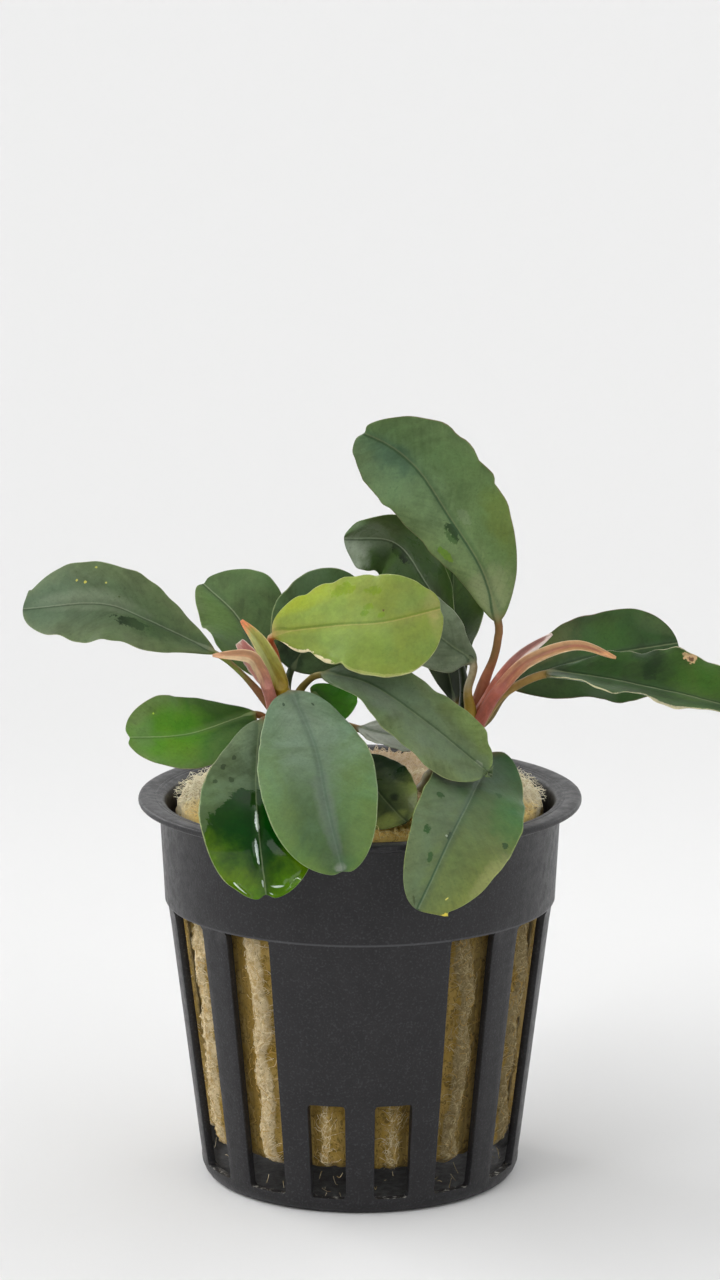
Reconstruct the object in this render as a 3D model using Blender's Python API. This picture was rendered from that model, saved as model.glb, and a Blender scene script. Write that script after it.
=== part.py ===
"""A bucephalandra, a small rhizome plant for aquariums, as it is sold: two
leafy shoots growing out of a mineral wool plug in a slotted net pot.

Front is -Y, +X is the viewer's right, +Z is up, and the origin is the middle
of the pot's underside. Sizes are in millimetres; MM turns them into metres
when a mesh is made.
"""

import math

import bmesh
import bpy
from mathutils import Vector

MM = 0.001

# Net pot: a thin moulded shell, measured on its outer side
POT_HEIGHT = 48.3
RIM_RADIUS = 27.5
FOOT_RADIUS = 19.7
FOOT_FILLET = 1.4
WALL_THICKNESS = 1.0
BAND_BOTTOM_Z = 35.2
BAND_BOTTOM_RADIUS = 24.3
BAND_TOP_RADIUS = 24.9
RIBS_TOP_RADIUS = 24.0
SLOT_BOTTOM_Z = 2.1
LONG_SLOT_TOP_Z = 35.0
SHORT_SLOT_TOP_Z = 14.3
# Slots round one half of the pot, as degrees from the front: (start, end).
# The other half mirrors it. The smooth front panel reaches the first long slot.
SHORT_SLOTS = [(4.9, 17.2)]
LONG_SLOTS = [(27.0, 42.5), (53.3, 72.0), (82.0, 98.0), (108.0, 126.7), (137.5, 153.0), (162.8, 175.1)]
PANEL_HALF_ANGLE = 27.0

# Mineral wool plug, which bulges a little into the slots
PLUG_TOP_Z = 47.5
PLUG_BOTTOM_Z = 5.0
PLUG_TOP_RADIUS = 22.9
PLUG_GAP = 0.45
PLUG_BULGE = 0.9

# Rhizomes and leaf stalks
RHIZOME_BOTTOM_Z = 47.8
RHIZOME_RADIUS = 1.25
STALK_RADIUS = 0.5
LEAF_HALF_THICKNESS = 0.3
LEAF_TIP_HALF_THICKNESS = 0.18
LINE_STEPS = 16


def clear_scene():
    for item in list(bpy.data.objects):
        bpy.data.objects.remove(item)


def material(name, colour, roughness):
    made = bpy.data.materials.new(name)
    made.use_nodes = True
    shader = made.node_tree.nodes["Principled BSDF"]
    shader.inputs["Base Color"].default_value = (*colour, 1.0)
    shader.inputs["Roughness"].default_value = roughness
    shader.inputs["Metallic"].default_value = 0.0
    return made


def finish_object(name, bm, finish, smooth_degrees=35):
    """Turn a bmesh in millimetres into a named object in metres."""
    bmesh.ops.scale(bm, vec=(MM, MM, MM), verts=bm.verts)
    mesh = bpy.data.meshes.new(name)
    bm.to_mesh(mesh)
    bm.free()
    mesh.materials.append(finish)
    mesh.shade_smooth()
    mesh.set_sharp_from_angle(angle=math.radians(smooth_degrees))
    made = bpy.data.objects.new(name, mesh)
    bpy.context.scene.collection.objects.link(made)
    return made


def rolled_sheet(columns, rows, place):
    """A grid rolled into a closed tube: place(column, row) gives each point."""
    bm = bmesh.new()
    bmesh.ops.create_grid(bm, x_segments=columns, y_segments=rows, size=1.0)
    for vert in bm.verts:
        column = round((vert.co.x + 1) / 2 * columns)
        row = round((vert.co.y + 1) / 2 * rows)
        vert.co = place(column % columns, row)
    bmesh.ops.remove_doubles(bm, verts=bm.verts, dist=0.001)
    return bm


def close_ends(bm):
    bmesh.ops.holes_fill(bm, edges=bm.edges, sides=0)
    bmesh.ops.recalc_face_normals(bm, faces=bm.faces)


def wall_radius(z):
    """Outer radius of the ribs, between the foot and the band."""
    return FOOT_RADIUS + (RIBS_TOP_RADIUS - FOOT_RADIUS) * z / BAND_BOTTOM_Z


# Net pot


def slot_angles():
    """Every edge of a rib or slot round the pot, with each slot's middle."""
    half = [0.0]
    for start, end in SHORT_SLOTS + LONG_SLOTS:
        half += [start, (start + end) / 2, end]
    half.append(180.0)
    return half + [360 - angle for angle in reversed(half[1:-1])]


def from_front(angle):
    """Degrees between a place round the pot and the middle of its front."""
    return abs((angle + 180) % 360 - 180)


def in_slots(angle, slots):
    return any(start + 0.1 < from_front(angle) < end - 0.1 for start, end in slots)


def pot_profile():
    """(radius, z) of the shell's outer side, from the floor's centre to the lip."""
    under_lip = POT_HEIGHT - WALL_THICKNESS - 0.1
    return [
        (0, 0),
        (FOOT_RADIUS - FOOT_FILLET, 0),
        (FOOT_RADIUS - 0.2 * FOOT_FILLET, 0.3 * FOOT_FILLET),
        (wall_radius(FOOT_FILLET), FOOT_FILLET),
        (wall_radius(SLOT_BOTTOM_Z), SLOT_BOTTOM_Z),
        (wall_radius(SHORT_SLOT_TOP_Z), SHORT_SLOT_TOP_Z),
        (wall_radius(LONG_SLOT_TOP_Z), LONG_SLOT_TOP_Z),
        (BAND_BOTTOM_RADIUS, BAND_BOTTOM_Z),
        (BAND_TOP_RADIUS, under_lip - 0.4),
        (BAND_TOP_RADIUS + 0.3, under_lip - 0.1),
        (BAND_TOP_RADIUS + 0.8, under_lip),
        (RIM_RADIUS - 0.4, under_lip + 0.05),
        (RIM_RADIUS, under_lip + 0.25),
    ]


def net_pot(finish):
    angles = slot_angles()
    profile = pot_profile()
    columns = len(angles)

    def place(column, row):
        radius, z = profile[row]
        if z == LONG_SLOT_TOP_Z and from_front(angles[column]) < PANEL_HALF_ANGLE + 0.1:
            radius = BAND_BOTTOM_RADIUS
        turn = math.radians(angles[column])
        return Vector((radius * math.sin(turn), -radius * math.cos(turn), z))

    bm = rolled_sheet(columns, len(profile) - 1, place)
    cut = []
    for face in bm.faces:
        middle = face.calc_center_median()
        turn = math.degrees(math.atan2(middle.x, -middle.y))
        in_wall = SLOT_BOTTOM_Z < middle.z < LONG_SLOT_TOP_Z
        in_low_wall = SLOT_BOTTOM_Z < middle.z < SHORT_SLOT_TOP_Z
        if in_wall and in_slots(turn, LONG_SLOTS):
            cut.append(face)
        elif in_low_wall and in_slots(turn, SHORT_SLOTS):
            cut.append(face)
    bmesh.ops.delete(bm, geom=cut, context="FACES")
    made = finish_object("net_pot", bm, finish)
    shell = made.modifiers.new("wall", "SOLIDIFY")
    shell.thickness = WALL_THICKNESS * MM
    shell.offset = -1.0
    shell.use_even_offset = True
    return made


# Mineral wool plug


def plug_radius(angle, z):
    """The plug follows the tapered wall and bulges into the middle of each slot."""
    inner_wall = wall_radius(z) - WALL_THICKNESS
    radius = min(inner_wall - PLUG_GAP, PLUG_TOP_RADIUS)
    beside_long_slot = in_slots(angle, LONG_SLOTS) and z < LONG_SLOT_TOP_Z - 1.0
    beside_short_slot = in_slots(angle, SHORT_SLOTS) and z < SHORT_SLOT_TOP_Z - 1.0
    if z > PLUG_BOTTOM_Z and (beside_long_slot or beside_short_slot):
        radius += PLUG_BULGE
    return radius


def wool_plug(finish):
    angles = slot_angles()
    heights = [PLUG_BOTTOM_Z, 6.5, 12.0, 15.0, 24.0, 33.0, 35.5, PLUG_TOP_Z - 0.6]
    rows = len(heights) + 3

    def place(column, row):
        turn = math.radians(angles[column])
        if row in (0, rows):
            radius = 0
            z = PLUG_BOTTOM_Z + 0.5 if row == 0 else PLUG_TOP_Z
        elif row == rows - 1:
            radius = 0.5 * PLUG_TOP_RADIUS
            z = PLUG_TOP_Z
        elif row == rows - 2:
            radius = PLUG_TOP_RADIUS - 0.8
            z = PLUG_TOP_Z
        else:
            z = heights[row - 1]
            radius = plug_radius(angles[column], z)
        return Vector((radius * math.sin(turn), -radius * math.cos(turn), z))

    bm = rolled_sheet(len(angles), rows, place)
    bmesh.ops.recalc_face_normals(bm, faces=bm.faces)
    return finish_object("rockwool_plug", bm, finish, smooth_degrees=60)


# Lines that stems and midribs follow


def smooth_line(points):
    """A Catmull-Rom curve through the points, as closely spaced points."""
    points = [Vector(point) for point in points]
    ends = [2 * points[0] - points[1], *points, 2 * points[-1] - points[-2]]
    line = []
    for before, start, end, after in zip(ends, ends[1:], ends[2:], ends[3:]):
        for step in range(LINE_STEPS):
            t = step / LINE_STEPS
            bend = (2 * before - 5 * start + 4 * end - after) * t**2
            twist = (3 * start - before - 3 * end + after) * t**3
            line.append((2 * start + (end - before) * t + bend + twist) / 2)
    line.append(points[-1])
    return line


def point_at(line, fraction):
    """Point and direction at a fraction of a line's length."""
    lengths = [(b - a).length for a, b in zip(line, line[1:])]
    left = fraction * sum(lengths)
    for start, end, length in zip(line, line[1:], lengths):
        if left <= length:
            break
        left -= length
    return start.lerp(end, min(left / length, 1.0)), (end - start).normalized()


def facing(azimuth, elevation):
    """Unit vector: azimuth 0 is the front, + towards +X; elevation is upwards."""
    turn = math.radians(azimuth)
    rise = math.radians(elevation)
    return Vector((math.sin(turn) * math.cos(rise), -math.cos(turn) * math.cos(rise), math.sin(rise)))


# Leaves, each one closed solid: a round stalk that flattens into the blade


def width_at(widths, s):
    """Half width from three values, for the blade's base, middle and tip."""
    base, middle, tip = widths
    fullness = base * (1 - s) * (1 - 2 * s) + 4 * middle * s * (1 - s) + tip * s * (2 * s - 1)
    return max(fullness, 0) * math.sqrt(max(4 * s * (1 - s), 0))


def leaf(
    name, finish, stalk, blade, face, left, right,
    fold=8, wave=0.4, waves=2.5, phase=0.0, size=STALK_RADIUS,
):
    """stalk and blade are points of the midrib; face is where the upper side looks."""
    line = smooth_line([*stalk, *blade])
    neck = len(stalk) * LINE_STEPS
    stalk_line = line[: neck + 1]
    blade_line = line[neck:]
    normal = facing(*face)
    slope = math.radians(fold)
    rings = []
    blade_rows = 12
    for k in range(blade_rows + 1):
        s = (1 - math.cos(math.pi * k / blade_rows)) / 2
        centre, along = point_at(blade_line, s)
        side = along.cross(normal).normalized()
        rings.append((centre, side, side.cross(along), s))
    side = rings[0][1]
    stalk_rows = 2 if len(stalk) == 1 else 4
    for k in range(stalk_rows - 1, -1, -1):
        centre, along = point_at(stalk_line, k / stalk_rows)
        side = (side - along * side.dot(along)).normalized()
        rings.insert(0, (centre, side, side.cross(along), -1))

    def place(column, row):
        centre, side, up, s = rings[row]
        turn = 2 * math.pi * column / 8
        u = math.cos(turn)
        if s < 0:
            return centre + size * (side * u + up * math.sin(turn))
        margin = width_at(right if u > 0 else left, s)
        half = math.hypot(margin * math.cos(slope), size * (1 - 0.7 * s))
        thick = LEAF_HALF_THICKNESS + (size - LEAF_HALF_THICKNESS) * math.exp(-12 * s)
        thick += (LEAF_TIP_HALF_THICKNESS - LEAF_HALF_THICKNESS) * s
        swing = math.sin(2 * math.pi * waves * s + phase + (1.3 if u > 0 else 0))
        lift = margin * abs(u) * math.sin(slope) + wave * abs(u) ** 3 * swing * math.sin(math.pi * s)
        return centre + side * (half * u) + up * (lift + thick * math.sin(turn))

    bm = rolled_sheet(8, len(rings) - 1, place)
    close_ends(bm)
    return finish_object(name, bm, finish)


def rhizome(name, finish, foot, top):
    """A short leaning stem with a rounded crown."""
    line = smooth_line([foot, Vector(foot).lerp(Vector(top), 0.5) + Vector((0, 0.3, 0)), top])
    rows = [(0.0, 1.0), (0.25, 1.08), (0.5, 0.95), (0.75, 1.05), (0.93, 0.95), (1.0, 0.6)]

    def place(column, row):
        fraction, swell = rows[row]
        centre, along = point_at(line, fraction)
        if row == 0:
            along = Vector((0, 0, 1))
        side = along.cross(Vector((0, 1, 0))).normalized()
        up = side.cross(along)
        turn = 2 * math.pi * column / 12
        return centre + RHIZOME_RADIUS * swell * (side * math.cos(turn) + up * math.sin(turn))

    bm = rolled_sheet(12, len(rows) - 1, place)
    close_ends(bm)
    return finish_object(name, bm, finish)


clear_scene()

black_plastic = material("black_plastic", (0.045, 0.043, 0.046), 0.55)
wool = material("mineral_wool", (0.62, 0.50, 0.29), 0.95)
stem_skin = material("stem", (0.30, 0.20, 0.08), 0.6)
leaf_skin = material("leaf", (0.09, 0.17, 0.07), 0.45)
bright_skin = material("leaf_bright", (0.33, 0.46, 0.05), 0.45)
bract_skin = material("bract", (0.58, 0.29, 0.18), 0.5)

net_pot(black_plastic)
wool_plug(wool)
rhizome("rhizome_left", stem_skin, (-6.0, -1.0, RHIZOME_BOTTOM_Z), (-9.5, -1.5, 59.5))
rhizome("rhizome_right", stem_skin, (7.5, -0.5, RHIZOME_BOTTOM_Z), (14.5, -0.5, 58.5))

# Left shoot: the upper leaves, from the far left round to the right

leaf(
    "leaf_far_left", leaf_skin, phase=0.6,
    stalk=[(-11.5, -1.5, 59), (-15, -1.5, 64)],
    blade=[(-18, -2, 66.5), (-26, -2, 70.5), (-32, -1.5, 72.5), (-41.5, 0, 71.5)],
    face=(20, 45), left=(2.5, 6.5, 7.5), right=(2, 5.5, 6.5), fold=12,
)
leaf(
    "leaf_upper_left", leaf_skin, phase=2.0,
    stalk=[(-11, 0, 59)],
    blade=[(-12, 2, 62.5), (-15, 8, 68.5), (-20, 13, 72.5)],
    face=(25, 20), left=(5.5, 5.5, 3.5), right=(4.5, 6.5, 7.5), fold=12,
)
leaf(
    "leaf_bright", bright_skin, phase=1.0,
    stalk=[(-7.5, -0.5, 59.5), (-10.5, -1.5, 65)],
    blade=[(-10.5, -4, 69), (-3.5, -6, 70.5), (3, -8.5, 71.5), (10, -10, 73.5)],
    face=(40, 25), left=(5.5, 6.5, 6.5), right=(2, 6.5, 9), fold=6,
)
leaf(
    "leaf_behind_bright", leaf_skin, phase=0.0,
    stalk=[(-9, 0.5, 59)],
    blade=[(-8.5, 2, 63.5), (-4.5, 4.5, 68.5), (1.5, 6.5, 72)],
    face=(35, 20), left=(7.5, 7, 7), right=(6, 5.5, 7.5), fold=6,
)
leaf(
    "leaf_long_middle", leaf_skin, phase=2.6,
    stalk=[(-7.5, -2.5, 59), (-7, -4.6, 63.5)],
    blade=[(-4.5, -6, 64.5), (1, -9, 64), (7, -11.5, 60.5), (15.5, -14, 54)],
    face=(40, 35), left=(3.5, 5, 6), right=(3, 5.5, 9.5), fold=8,
)

# Left shoot: the lower leaves, from the left round the front

leaf(
    "leaf_lower_left", bright_skin, phase=1.5,
    stalk=[(-10.5, -2.2, 56.5)],
    blade=[(-13, -3.5, 59), (-21, -8, 57.5), (-28.5, -10, 57.5)],
    face=(5, 50), left=(6, 6, 6), right=(2, 5.5, 7), fold=10,
)
leaf(
    "leaf_wet_front", leaf_skin, phase=0.4,
    stalk=[(-10, -3.4, 57)],
    blade=[(-12, -8, 59), (-12.5, -18, 54.5), (-12, -26.5, 50), (-11, -30.5, 42.5)],
    face=(5, 40), left=(5, 6.5, 9.5), right=(3, 6.5, 8.5), fold=8,
)
leaf(
    "leaf_front", leaf_skin, phase=0.9,
    stalk=[(-8.4, -3.5, 57.5)],
    blade=[(-8.5, -7.5, 62.5), (-5.5, -17, 58), (-4, -26.5, 53), (-2, -32, 46)],
    face=(5, 40), left=(4.5, 6.5, 7), right=(6, 7.5, 9), fold=5,
)
leaf(
    "leaf_small_bright", bright_skin, phase=0.0, wave=0.2,
    stalk=[(-6.2, -0.8, 56.8)],
    blade=[(-5.7, -0.6, 60.8), (-4.1, -1.4, 59.8), (-2.2, -2.4, 57.8)],
    face=(25, 35), left=(3, 4.2, 4.2), right=(2.6, 3.2, 3.4), fold=5,
)
leaf(
    "leaf_small_pleated", leaf_skin, phase=0.0, wave=0.2,
    stalk=[(-5.8, -0.5, 54.5), (-3.5, 0, 57)],
    blade=[(0, -2.8, 57), (3.5, -4, 56.5), (8, -3, 55.5)],
    face=(10, 70), left=(3, 3.5, 3.5), right=(1.5, 3.5, 4), fold=8,
)
leaf(
    "leaf_on_wool", leaf_skin, phase=1.2, wave=0.2,
    stalk=[(-5.8, -2.4, 53.2), (-4, -6, 55)],
    blade=[(-1, -9.5, 54.5), (2.5, -15, 51.5), (4.5, -18.5, 50), (5.5, -20.5, 49.5)],
    face=(0, 35), left=(4.5, 4.5, 3.5), right=(4.5, 5, 5), fold=5,
)

# Left shoot: the young rolled leaf and the two papery bracts at the crown

leaf(
    "young_leaf_left", bright_skin, wave=0.0, size=0.35,
    stalk=[(-9.5, -3.2, 61)],
    blade=[(-9.7, -3.7, 63), (-10.3, -4.4, 65.5), (-12.1, -4.8, 68.5), (-14.5, -4.6, 70.8)],
    face=(10, 10), left=(1.1, 1.0, 0.7), right=(1.1, 1.0, 0.7), fold=20,
)
leaf(
    "bract_tan_left", bract_skin, wave=0.0, size=0.3,
    stalk=[(-10.9, -4.6, 61)],
    blade=[(-11.3, -5.4, 62.7), (-12, -6.2, 65), (-13.8, -6.5, 67.1), (-18, -6.2, 67.1)],
    face=(10, 20), left=(0.9, 0.8, 0.5), right=(0.9, 0.8, 0.5), fold=20,
)
leaf(
    "bract_mauve_left", bract_skin, wave=0.0, size=0.3,
    stalk=[(-11.2, -3, 60.3)],
    blade=[(-11.9, -3.3, 62.2), (-12.6, -3.3, 64.5), (-13.6, -3.1, 66.8), (-14.8, -2.8, 68.2)],
    face=(0, 10), left=(0.9, 0.8, 0.4), right=(0.9, 0.8, 0.4), fold=20,
)

# Right shoot: the upright leaves

leaf(
    "leaf_tall", leaf_skin, phase=1.8, wave=0.5, waves=3,
    stalk=[(15, 1.5, 58.5), (16, 0, 63), (17, 0.5, 67)],
    blade=[(17, 0.5, 70), (15, 1, 76.5), (11, 1, 83), (7.5, 0, 88.5), (4, -2, 92), (0, -5, 94.5)],
    face=(0, -10), left=(3, 5.5, 8), right=(3.5, 7.5, 6), fold=8,
)
leaf(
    "leaf_dark_back", leaf_skin, phase=0.3,
    stalk=[(13, 1.5, 58), (13, 2.5, 61), (12.5, 4.5, 64)],
    blade=[(11.5, 5.5, 68), (8.5, 7.5, 73), (4.5, 10, 78), (-2, 11, 78.5)],
    face=(-20, -20), left=(4, 5.5, 6), right=(2, 5.5, 3), fold=14,
)
leaf(
    "leaf_upright_back", leaf_skin, phase=0.8,
    stalk=[(12.5, 1.5, 56.3)],
    blade=[(12, 5, 58.5), (11, 8, 63), (11.5, 11, 68), (12, 15, 76.5)],
    face=(-30, 15), left=(1, 4.5, 6), right=(2.5, 5, 5), fold=15,
)
leaf(
    "leaf_short_grey", leaf_skin, phase=2.2, wave=0.3,
    stalk=[(11.6, -0.2, 58), (13, 0, 61)],
    blade=[(14, 1, 64.5), (11.5, 1.5, 66.5), (8.5, 2, 68.5), (3, 2.5, 70.5)],
    face=(-15, 40), left=(4, 5, 4), right=(1.5, 4, 5.5), fold=10,
)

# Right shoot: the spreading leaves

leaf(
    "leaf_upper_right", leaf_skin, phase=1.1,
    stalk=[(16, 0.5, 58)],
    blade=[(19, 3, 61), (25, 6, 63), (31.5, 9, 64), (40, 11, 65)],
    face=(-10, 30), left=(3.5, 5.5, 7), right=(4.5, 6.5, 9.5), fold=8,
)
leaf(
    "leaf_lower_right", leaf_skin, phase=2.9, wave=0.5, waves=3,
    stalk=[(15.5, -1.5, 57), (18, -2, 61.5)],
    blade=[(23, -3, 64), (29, -5, 64), (36, -7, 63), (46.5, -10, 61)],
    face=(15, 70), left=(2, 6.5, 8.5), right=(4.5, 6, 7.5), fold=20,
)
leaf(
    "leaf_right_front", leaf_skin, phase=0.5,
    stalk=[(12, -2.7, 54.5)],
    blade=[(15.8, -4.5, 54), (13.9, -15, 52.2), (10.9, -25.5, 49), (8.6, -30.3, 45.2), (6.8, -32.6, 41.9)],
    face=(-5, 8), left=(6.5, 7.2, 8.8), right=(7, 5.6, 6), fold=5,
)

# Right shoot: the long curved spathe and the pointed bract behind it

leaf(
    "spathe_right", bract_skin, wave=0.0, size=0.45,
    stalk=[(15.4, -2.6, 59.6)],
    blade=[(17.1, -3.7, 61.9), (22, -4.8, 66.1), (26.8, -5, 67.8), (31, -5, 66.6)],
    face=(10, 30), left=(0.9, 0.9, 0.7), right=(0.9, 0.9, 0.7), fold=20,
)
leaf(
    "bract_mauve_right", bract_skin, wave=0.0, size=0.35,
    stalk=[(15.6, -0.8, 59.8)],
    blade=[(17.2, -1, 62), (19.9, -0.8, 65.6), (23.7, 0, 68.5)],
    face=(0, 20), left=(0.9, 0.8, 0.4), right=(0.9, 0.8, 0.4), fold=20,
)
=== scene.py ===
"""The looks of a bucephalandra in its net pot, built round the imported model.

Front is -Y, +X is the viewer's right, +Z is up. Sizes are in millimetres and
are turned into metres when a mesh is made.
"""

import math
import random

import bmesh
import bpy
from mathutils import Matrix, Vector, noise


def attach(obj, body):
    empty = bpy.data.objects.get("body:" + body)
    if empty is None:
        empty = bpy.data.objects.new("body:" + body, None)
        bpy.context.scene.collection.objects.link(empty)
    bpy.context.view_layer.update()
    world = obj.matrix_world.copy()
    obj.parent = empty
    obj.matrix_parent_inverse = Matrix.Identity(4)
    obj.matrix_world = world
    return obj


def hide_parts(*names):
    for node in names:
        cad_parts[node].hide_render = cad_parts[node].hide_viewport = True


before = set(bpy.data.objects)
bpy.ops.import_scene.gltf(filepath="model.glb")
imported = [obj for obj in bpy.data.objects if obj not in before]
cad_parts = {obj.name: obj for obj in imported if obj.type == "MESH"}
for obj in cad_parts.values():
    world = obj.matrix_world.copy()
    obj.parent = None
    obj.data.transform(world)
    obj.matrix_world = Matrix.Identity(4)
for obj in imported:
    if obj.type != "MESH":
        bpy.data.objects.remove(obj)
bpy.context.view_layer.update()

# Net pot: one thin shell of charcoal plastic, injection moulded, with a fine
# satin grain. Slots run up its sides, a smooth panel fills the front, and a
# wide flat lip with a fine double groove goes round the top.

MM = 0.001
POT_HEIGHT = 48.3
RIM_RADIUS = 27.5
FOOT_RADIUS = 19.7
WALL = 1.0
BAND_BOTTOM_Z = 35.2
BAND_TOP_Z = 46.8
BAND_BOTTOM_RADIUS = 24.3
BAND_TOP_RADIUS = 24.9
RIBS_TOP_RADIUS = 24.0
SLOT_BOTTOM_Z = 2.1
LONG_SLOT_TOP_Z = 35.0
SHORT_SLOT_TOP_Z = 14.3
SLOT_CORNER = 0.4
SLOT_EDGE_ROUNDING = 0.09
FLOOR_RADIUS = 17.0
OUTER_SIDE_ROWS = 23
# Slots round one half of the pot, as degrees from the front: (start, end)
SHORT_SLOTS = [(4.9, 17.2)]
LONG_SLOTS = [(27.0, 42.5), (53.3, 72.0), (82.0, 98.0), (108.0, 126.7), (137.5, 153.0), (162.8, 175.1)]
PANEL_HALF_ANGLE = 27.0


def rolled_sheet(columns, rows, place, note=None):
    """A grid rolled into a tube: place(column, row) gives each point, and
    note(column, row) the values that a material reads there, by name."""
    bm = bmesh.new()
    bmesh.ops.create_grid(bm, x_segments=columns, y_segments=rows, size=1.0)
    layers = {key: bm.verts.layers.float_vector.new(key) for key in (note(0, 0) if note else ())}
    for vert in bm.verts:
        column = round((vert.co.x + 1) / 2 * columns) % columns
        row = round((vert.co.y + 1) / 2 * rows)
        vert.co = place(column, row)
        for key, value in (note(column, row) if note else {}).items():
            vert[layers[key]] = value
    bmesh.ops.remove_doubles(bm, verts=bm.verts, dist=0.0005)
    return bm


def close_ends(bm):
    """Fill both ends of a tube and turn every face outwards."""
    bmesh.ops.holes_fill(bm, edges=bm.edges, sides=0)
    bmesh.ops.recalc_face_normals(bm, faces=bm.faces)


def finish_piece(name, bm, finish, node, sharp_degrees=180):
    """Turn a bmesh in millimetres into a piece that stands for its CAD node."""
    bmesh.ops.scale(bm, vec=(MM, MM, MM), verts=bm.verts)
    mesh = bpy.data.meshes.new(name)
    bm.to_mesh(mesh)
    bm.free()
    mesh.materials.append(finish)
    mesh.shade_smooth()
    if sharp_degrees < 180:
        mesh.set_sharp_from_angle(angle=math.radians(sharp_degrees))
    piece = bpy.data.objects.new(name, mesh)
    bpy.context.scene.collection.objects.link(piece)
    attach(piece, "root")
    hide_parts(node)


def paint(red, green, blue):
    """A colour given as 0 to 255, as the light that a shader works in."""
    light = [((c / 255 + 0.055) / 1.055) ** 2.4 if c > 10 else c / 3300 for c in (red, green, blue)]
    return (*light, 1.0)


def start_finish(name, roughness):
    """A new material: its node tree and its shader, ready to be wired."""
    finish = bpy.data.materials.new(name)
    finish.use_nodes = True
    shader = finish.node_tree.nodes["Principled BSDF"]
    shader.inputs["Roughness"].default_value = roughness
    return finish, finish.node_tree, shader


def add_node(tree, kind, inputs=(), **settings):
    """A node with its settings and its inputs, each a value or another socket."""
    made = tree.nodes.new(kind)
    for key, value in settings.items():
        setattr(made, key, value)
    for key, value in dict(inputs).items():
        if isinstance(value, bpy.types.NodeSocket):
            tree.links.new(value, made.inputs[key])
        else:
            made.inputs[key].default_value = value
    return made


def place_parts(tree):
    """X, Y and Z of a place on the piece, in metres."""
    place = add_node(tree, "ShaderNodeTexCoord")
    return add_node(tree, "ShaderNodeSeparateXYZ", {0: place.outputs["Object"]}).outputs


def grain(tree, scale, detail=4.0, roughness=0.6, distortion=0.0, upright=1.0):
    """Noise that stays fixed to the piece; scale is in ripples per metre, and
    upright stretches the ripples up and down."""
    place = add_node(tree, "ShaderNodeTexCoord").outputs["Object"]
    if upright != 1:
        values = {"Vector": place, "Scale": (1, 1, 1 / upright)}
        place = add_node(tree, "ShaderNodeMapping", values).outputs["Vector"]
    values = {"Vector": place, "Scale": scale, "Detail": detail}
    values.update({"Roughness": roughness, "Distortion": distortion})
    return add_node(tree, "ShaderNodeTexNoise", values).outputs["Fac"]


def ramp(tree, value, low, high, start=0.0, end=1.0):
    """A soft step from start at low to end at high."""
    values = {"Value": value, "From Min": low, "From Max": high, "To Min": start, "To Max": end}
    return add_node(tree, "ShaderNodeMapRange", values, interpolation_type="SMOOTHSTEP").outputs["Result"]


def blend_colour(tree, amount, under, over):
    made = add_node(tree, "ShaderNodeMix", data_type="RGBA")
    for index, value in ((0, amount), (6, under), (7, over)):
        if isinstance(value, bpy.types.NodeSocket):
            tree.links.new(value, made.inputs[index])
        else:
            made.inputs[index].default_value = value
    return made.outputs[2]


def work_out(tree, operation, first, second=0.0):
    return add_node(tree, "ShaderNodeMath", {0: first, 1: second}, operation=operation).outputs[0]


def plus(tree, first, second):
    return work_out(tree, "ADD", first, second)


def minus(tree, first, second):
    return work_out(tree, "SUBTRACT", first, second)


def times(tree, first, second):
    return work_out(tree, "MULTIPLY", first, second)


def off_middle(tree, value, strength):
    """Noise turned into a push to either side of nought."""
    return times(tree, minus(tree, value, 0.5), strength)


def tinted(tree, shade, amount, colour):
    """The shade so far with an amount of another colour laid over it."""
    return blend_colour(tree, amount, shade, paint(*colour))


def raise_surface(tree, shader, height, distance, strength=1.0):
    values = {"Height": height, "Distance": distance, "Strength": strength}
    bump = add_node(tree, "ShaderNodeBump", values)
    tree.links.new(bump.outputs["Normal"], shader.inputs["Normal"])


def from_front(angle):
    return abs((angle + 180) % 360 - 180)


def slot_at(angle, reach=0.01):
    """The slot (start, end) whose width holds this angle, or None."""
    for start, end in SHORT_SLOTS + LONG_SLOTS:
        if start - reach < from_front(angle) < end + reach:
            return start, end
    return None


def wall_radius(z):
    return FOOT_RADIUS + (RIBS_TOP_RADIUS - FOOT_RADIUS) * z / BAND_BOTTOM_Z


def pot_angles():
    """Column angles round the pot: close together at slot corners, else about 3 degrees."""
    half = {0.0, 180.0}
    for start, end in SHORT_SLOTS + LONG_SLOTS:
        half.update([start, end])
        for step in (0.35, 0.8, 1.5):
            half.update([start + step, end - step])
    half = sorted(half)
    angles = []
    for low, high in zip(half, half[1:]):
        parts = max(1, round((high - low) / 3))
        angles += [low + (high - low) * k / parts for k in range(parts)]
    return angles + [180.0] + [360 - angle for angle in reversed(angles[1:])]


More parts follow.
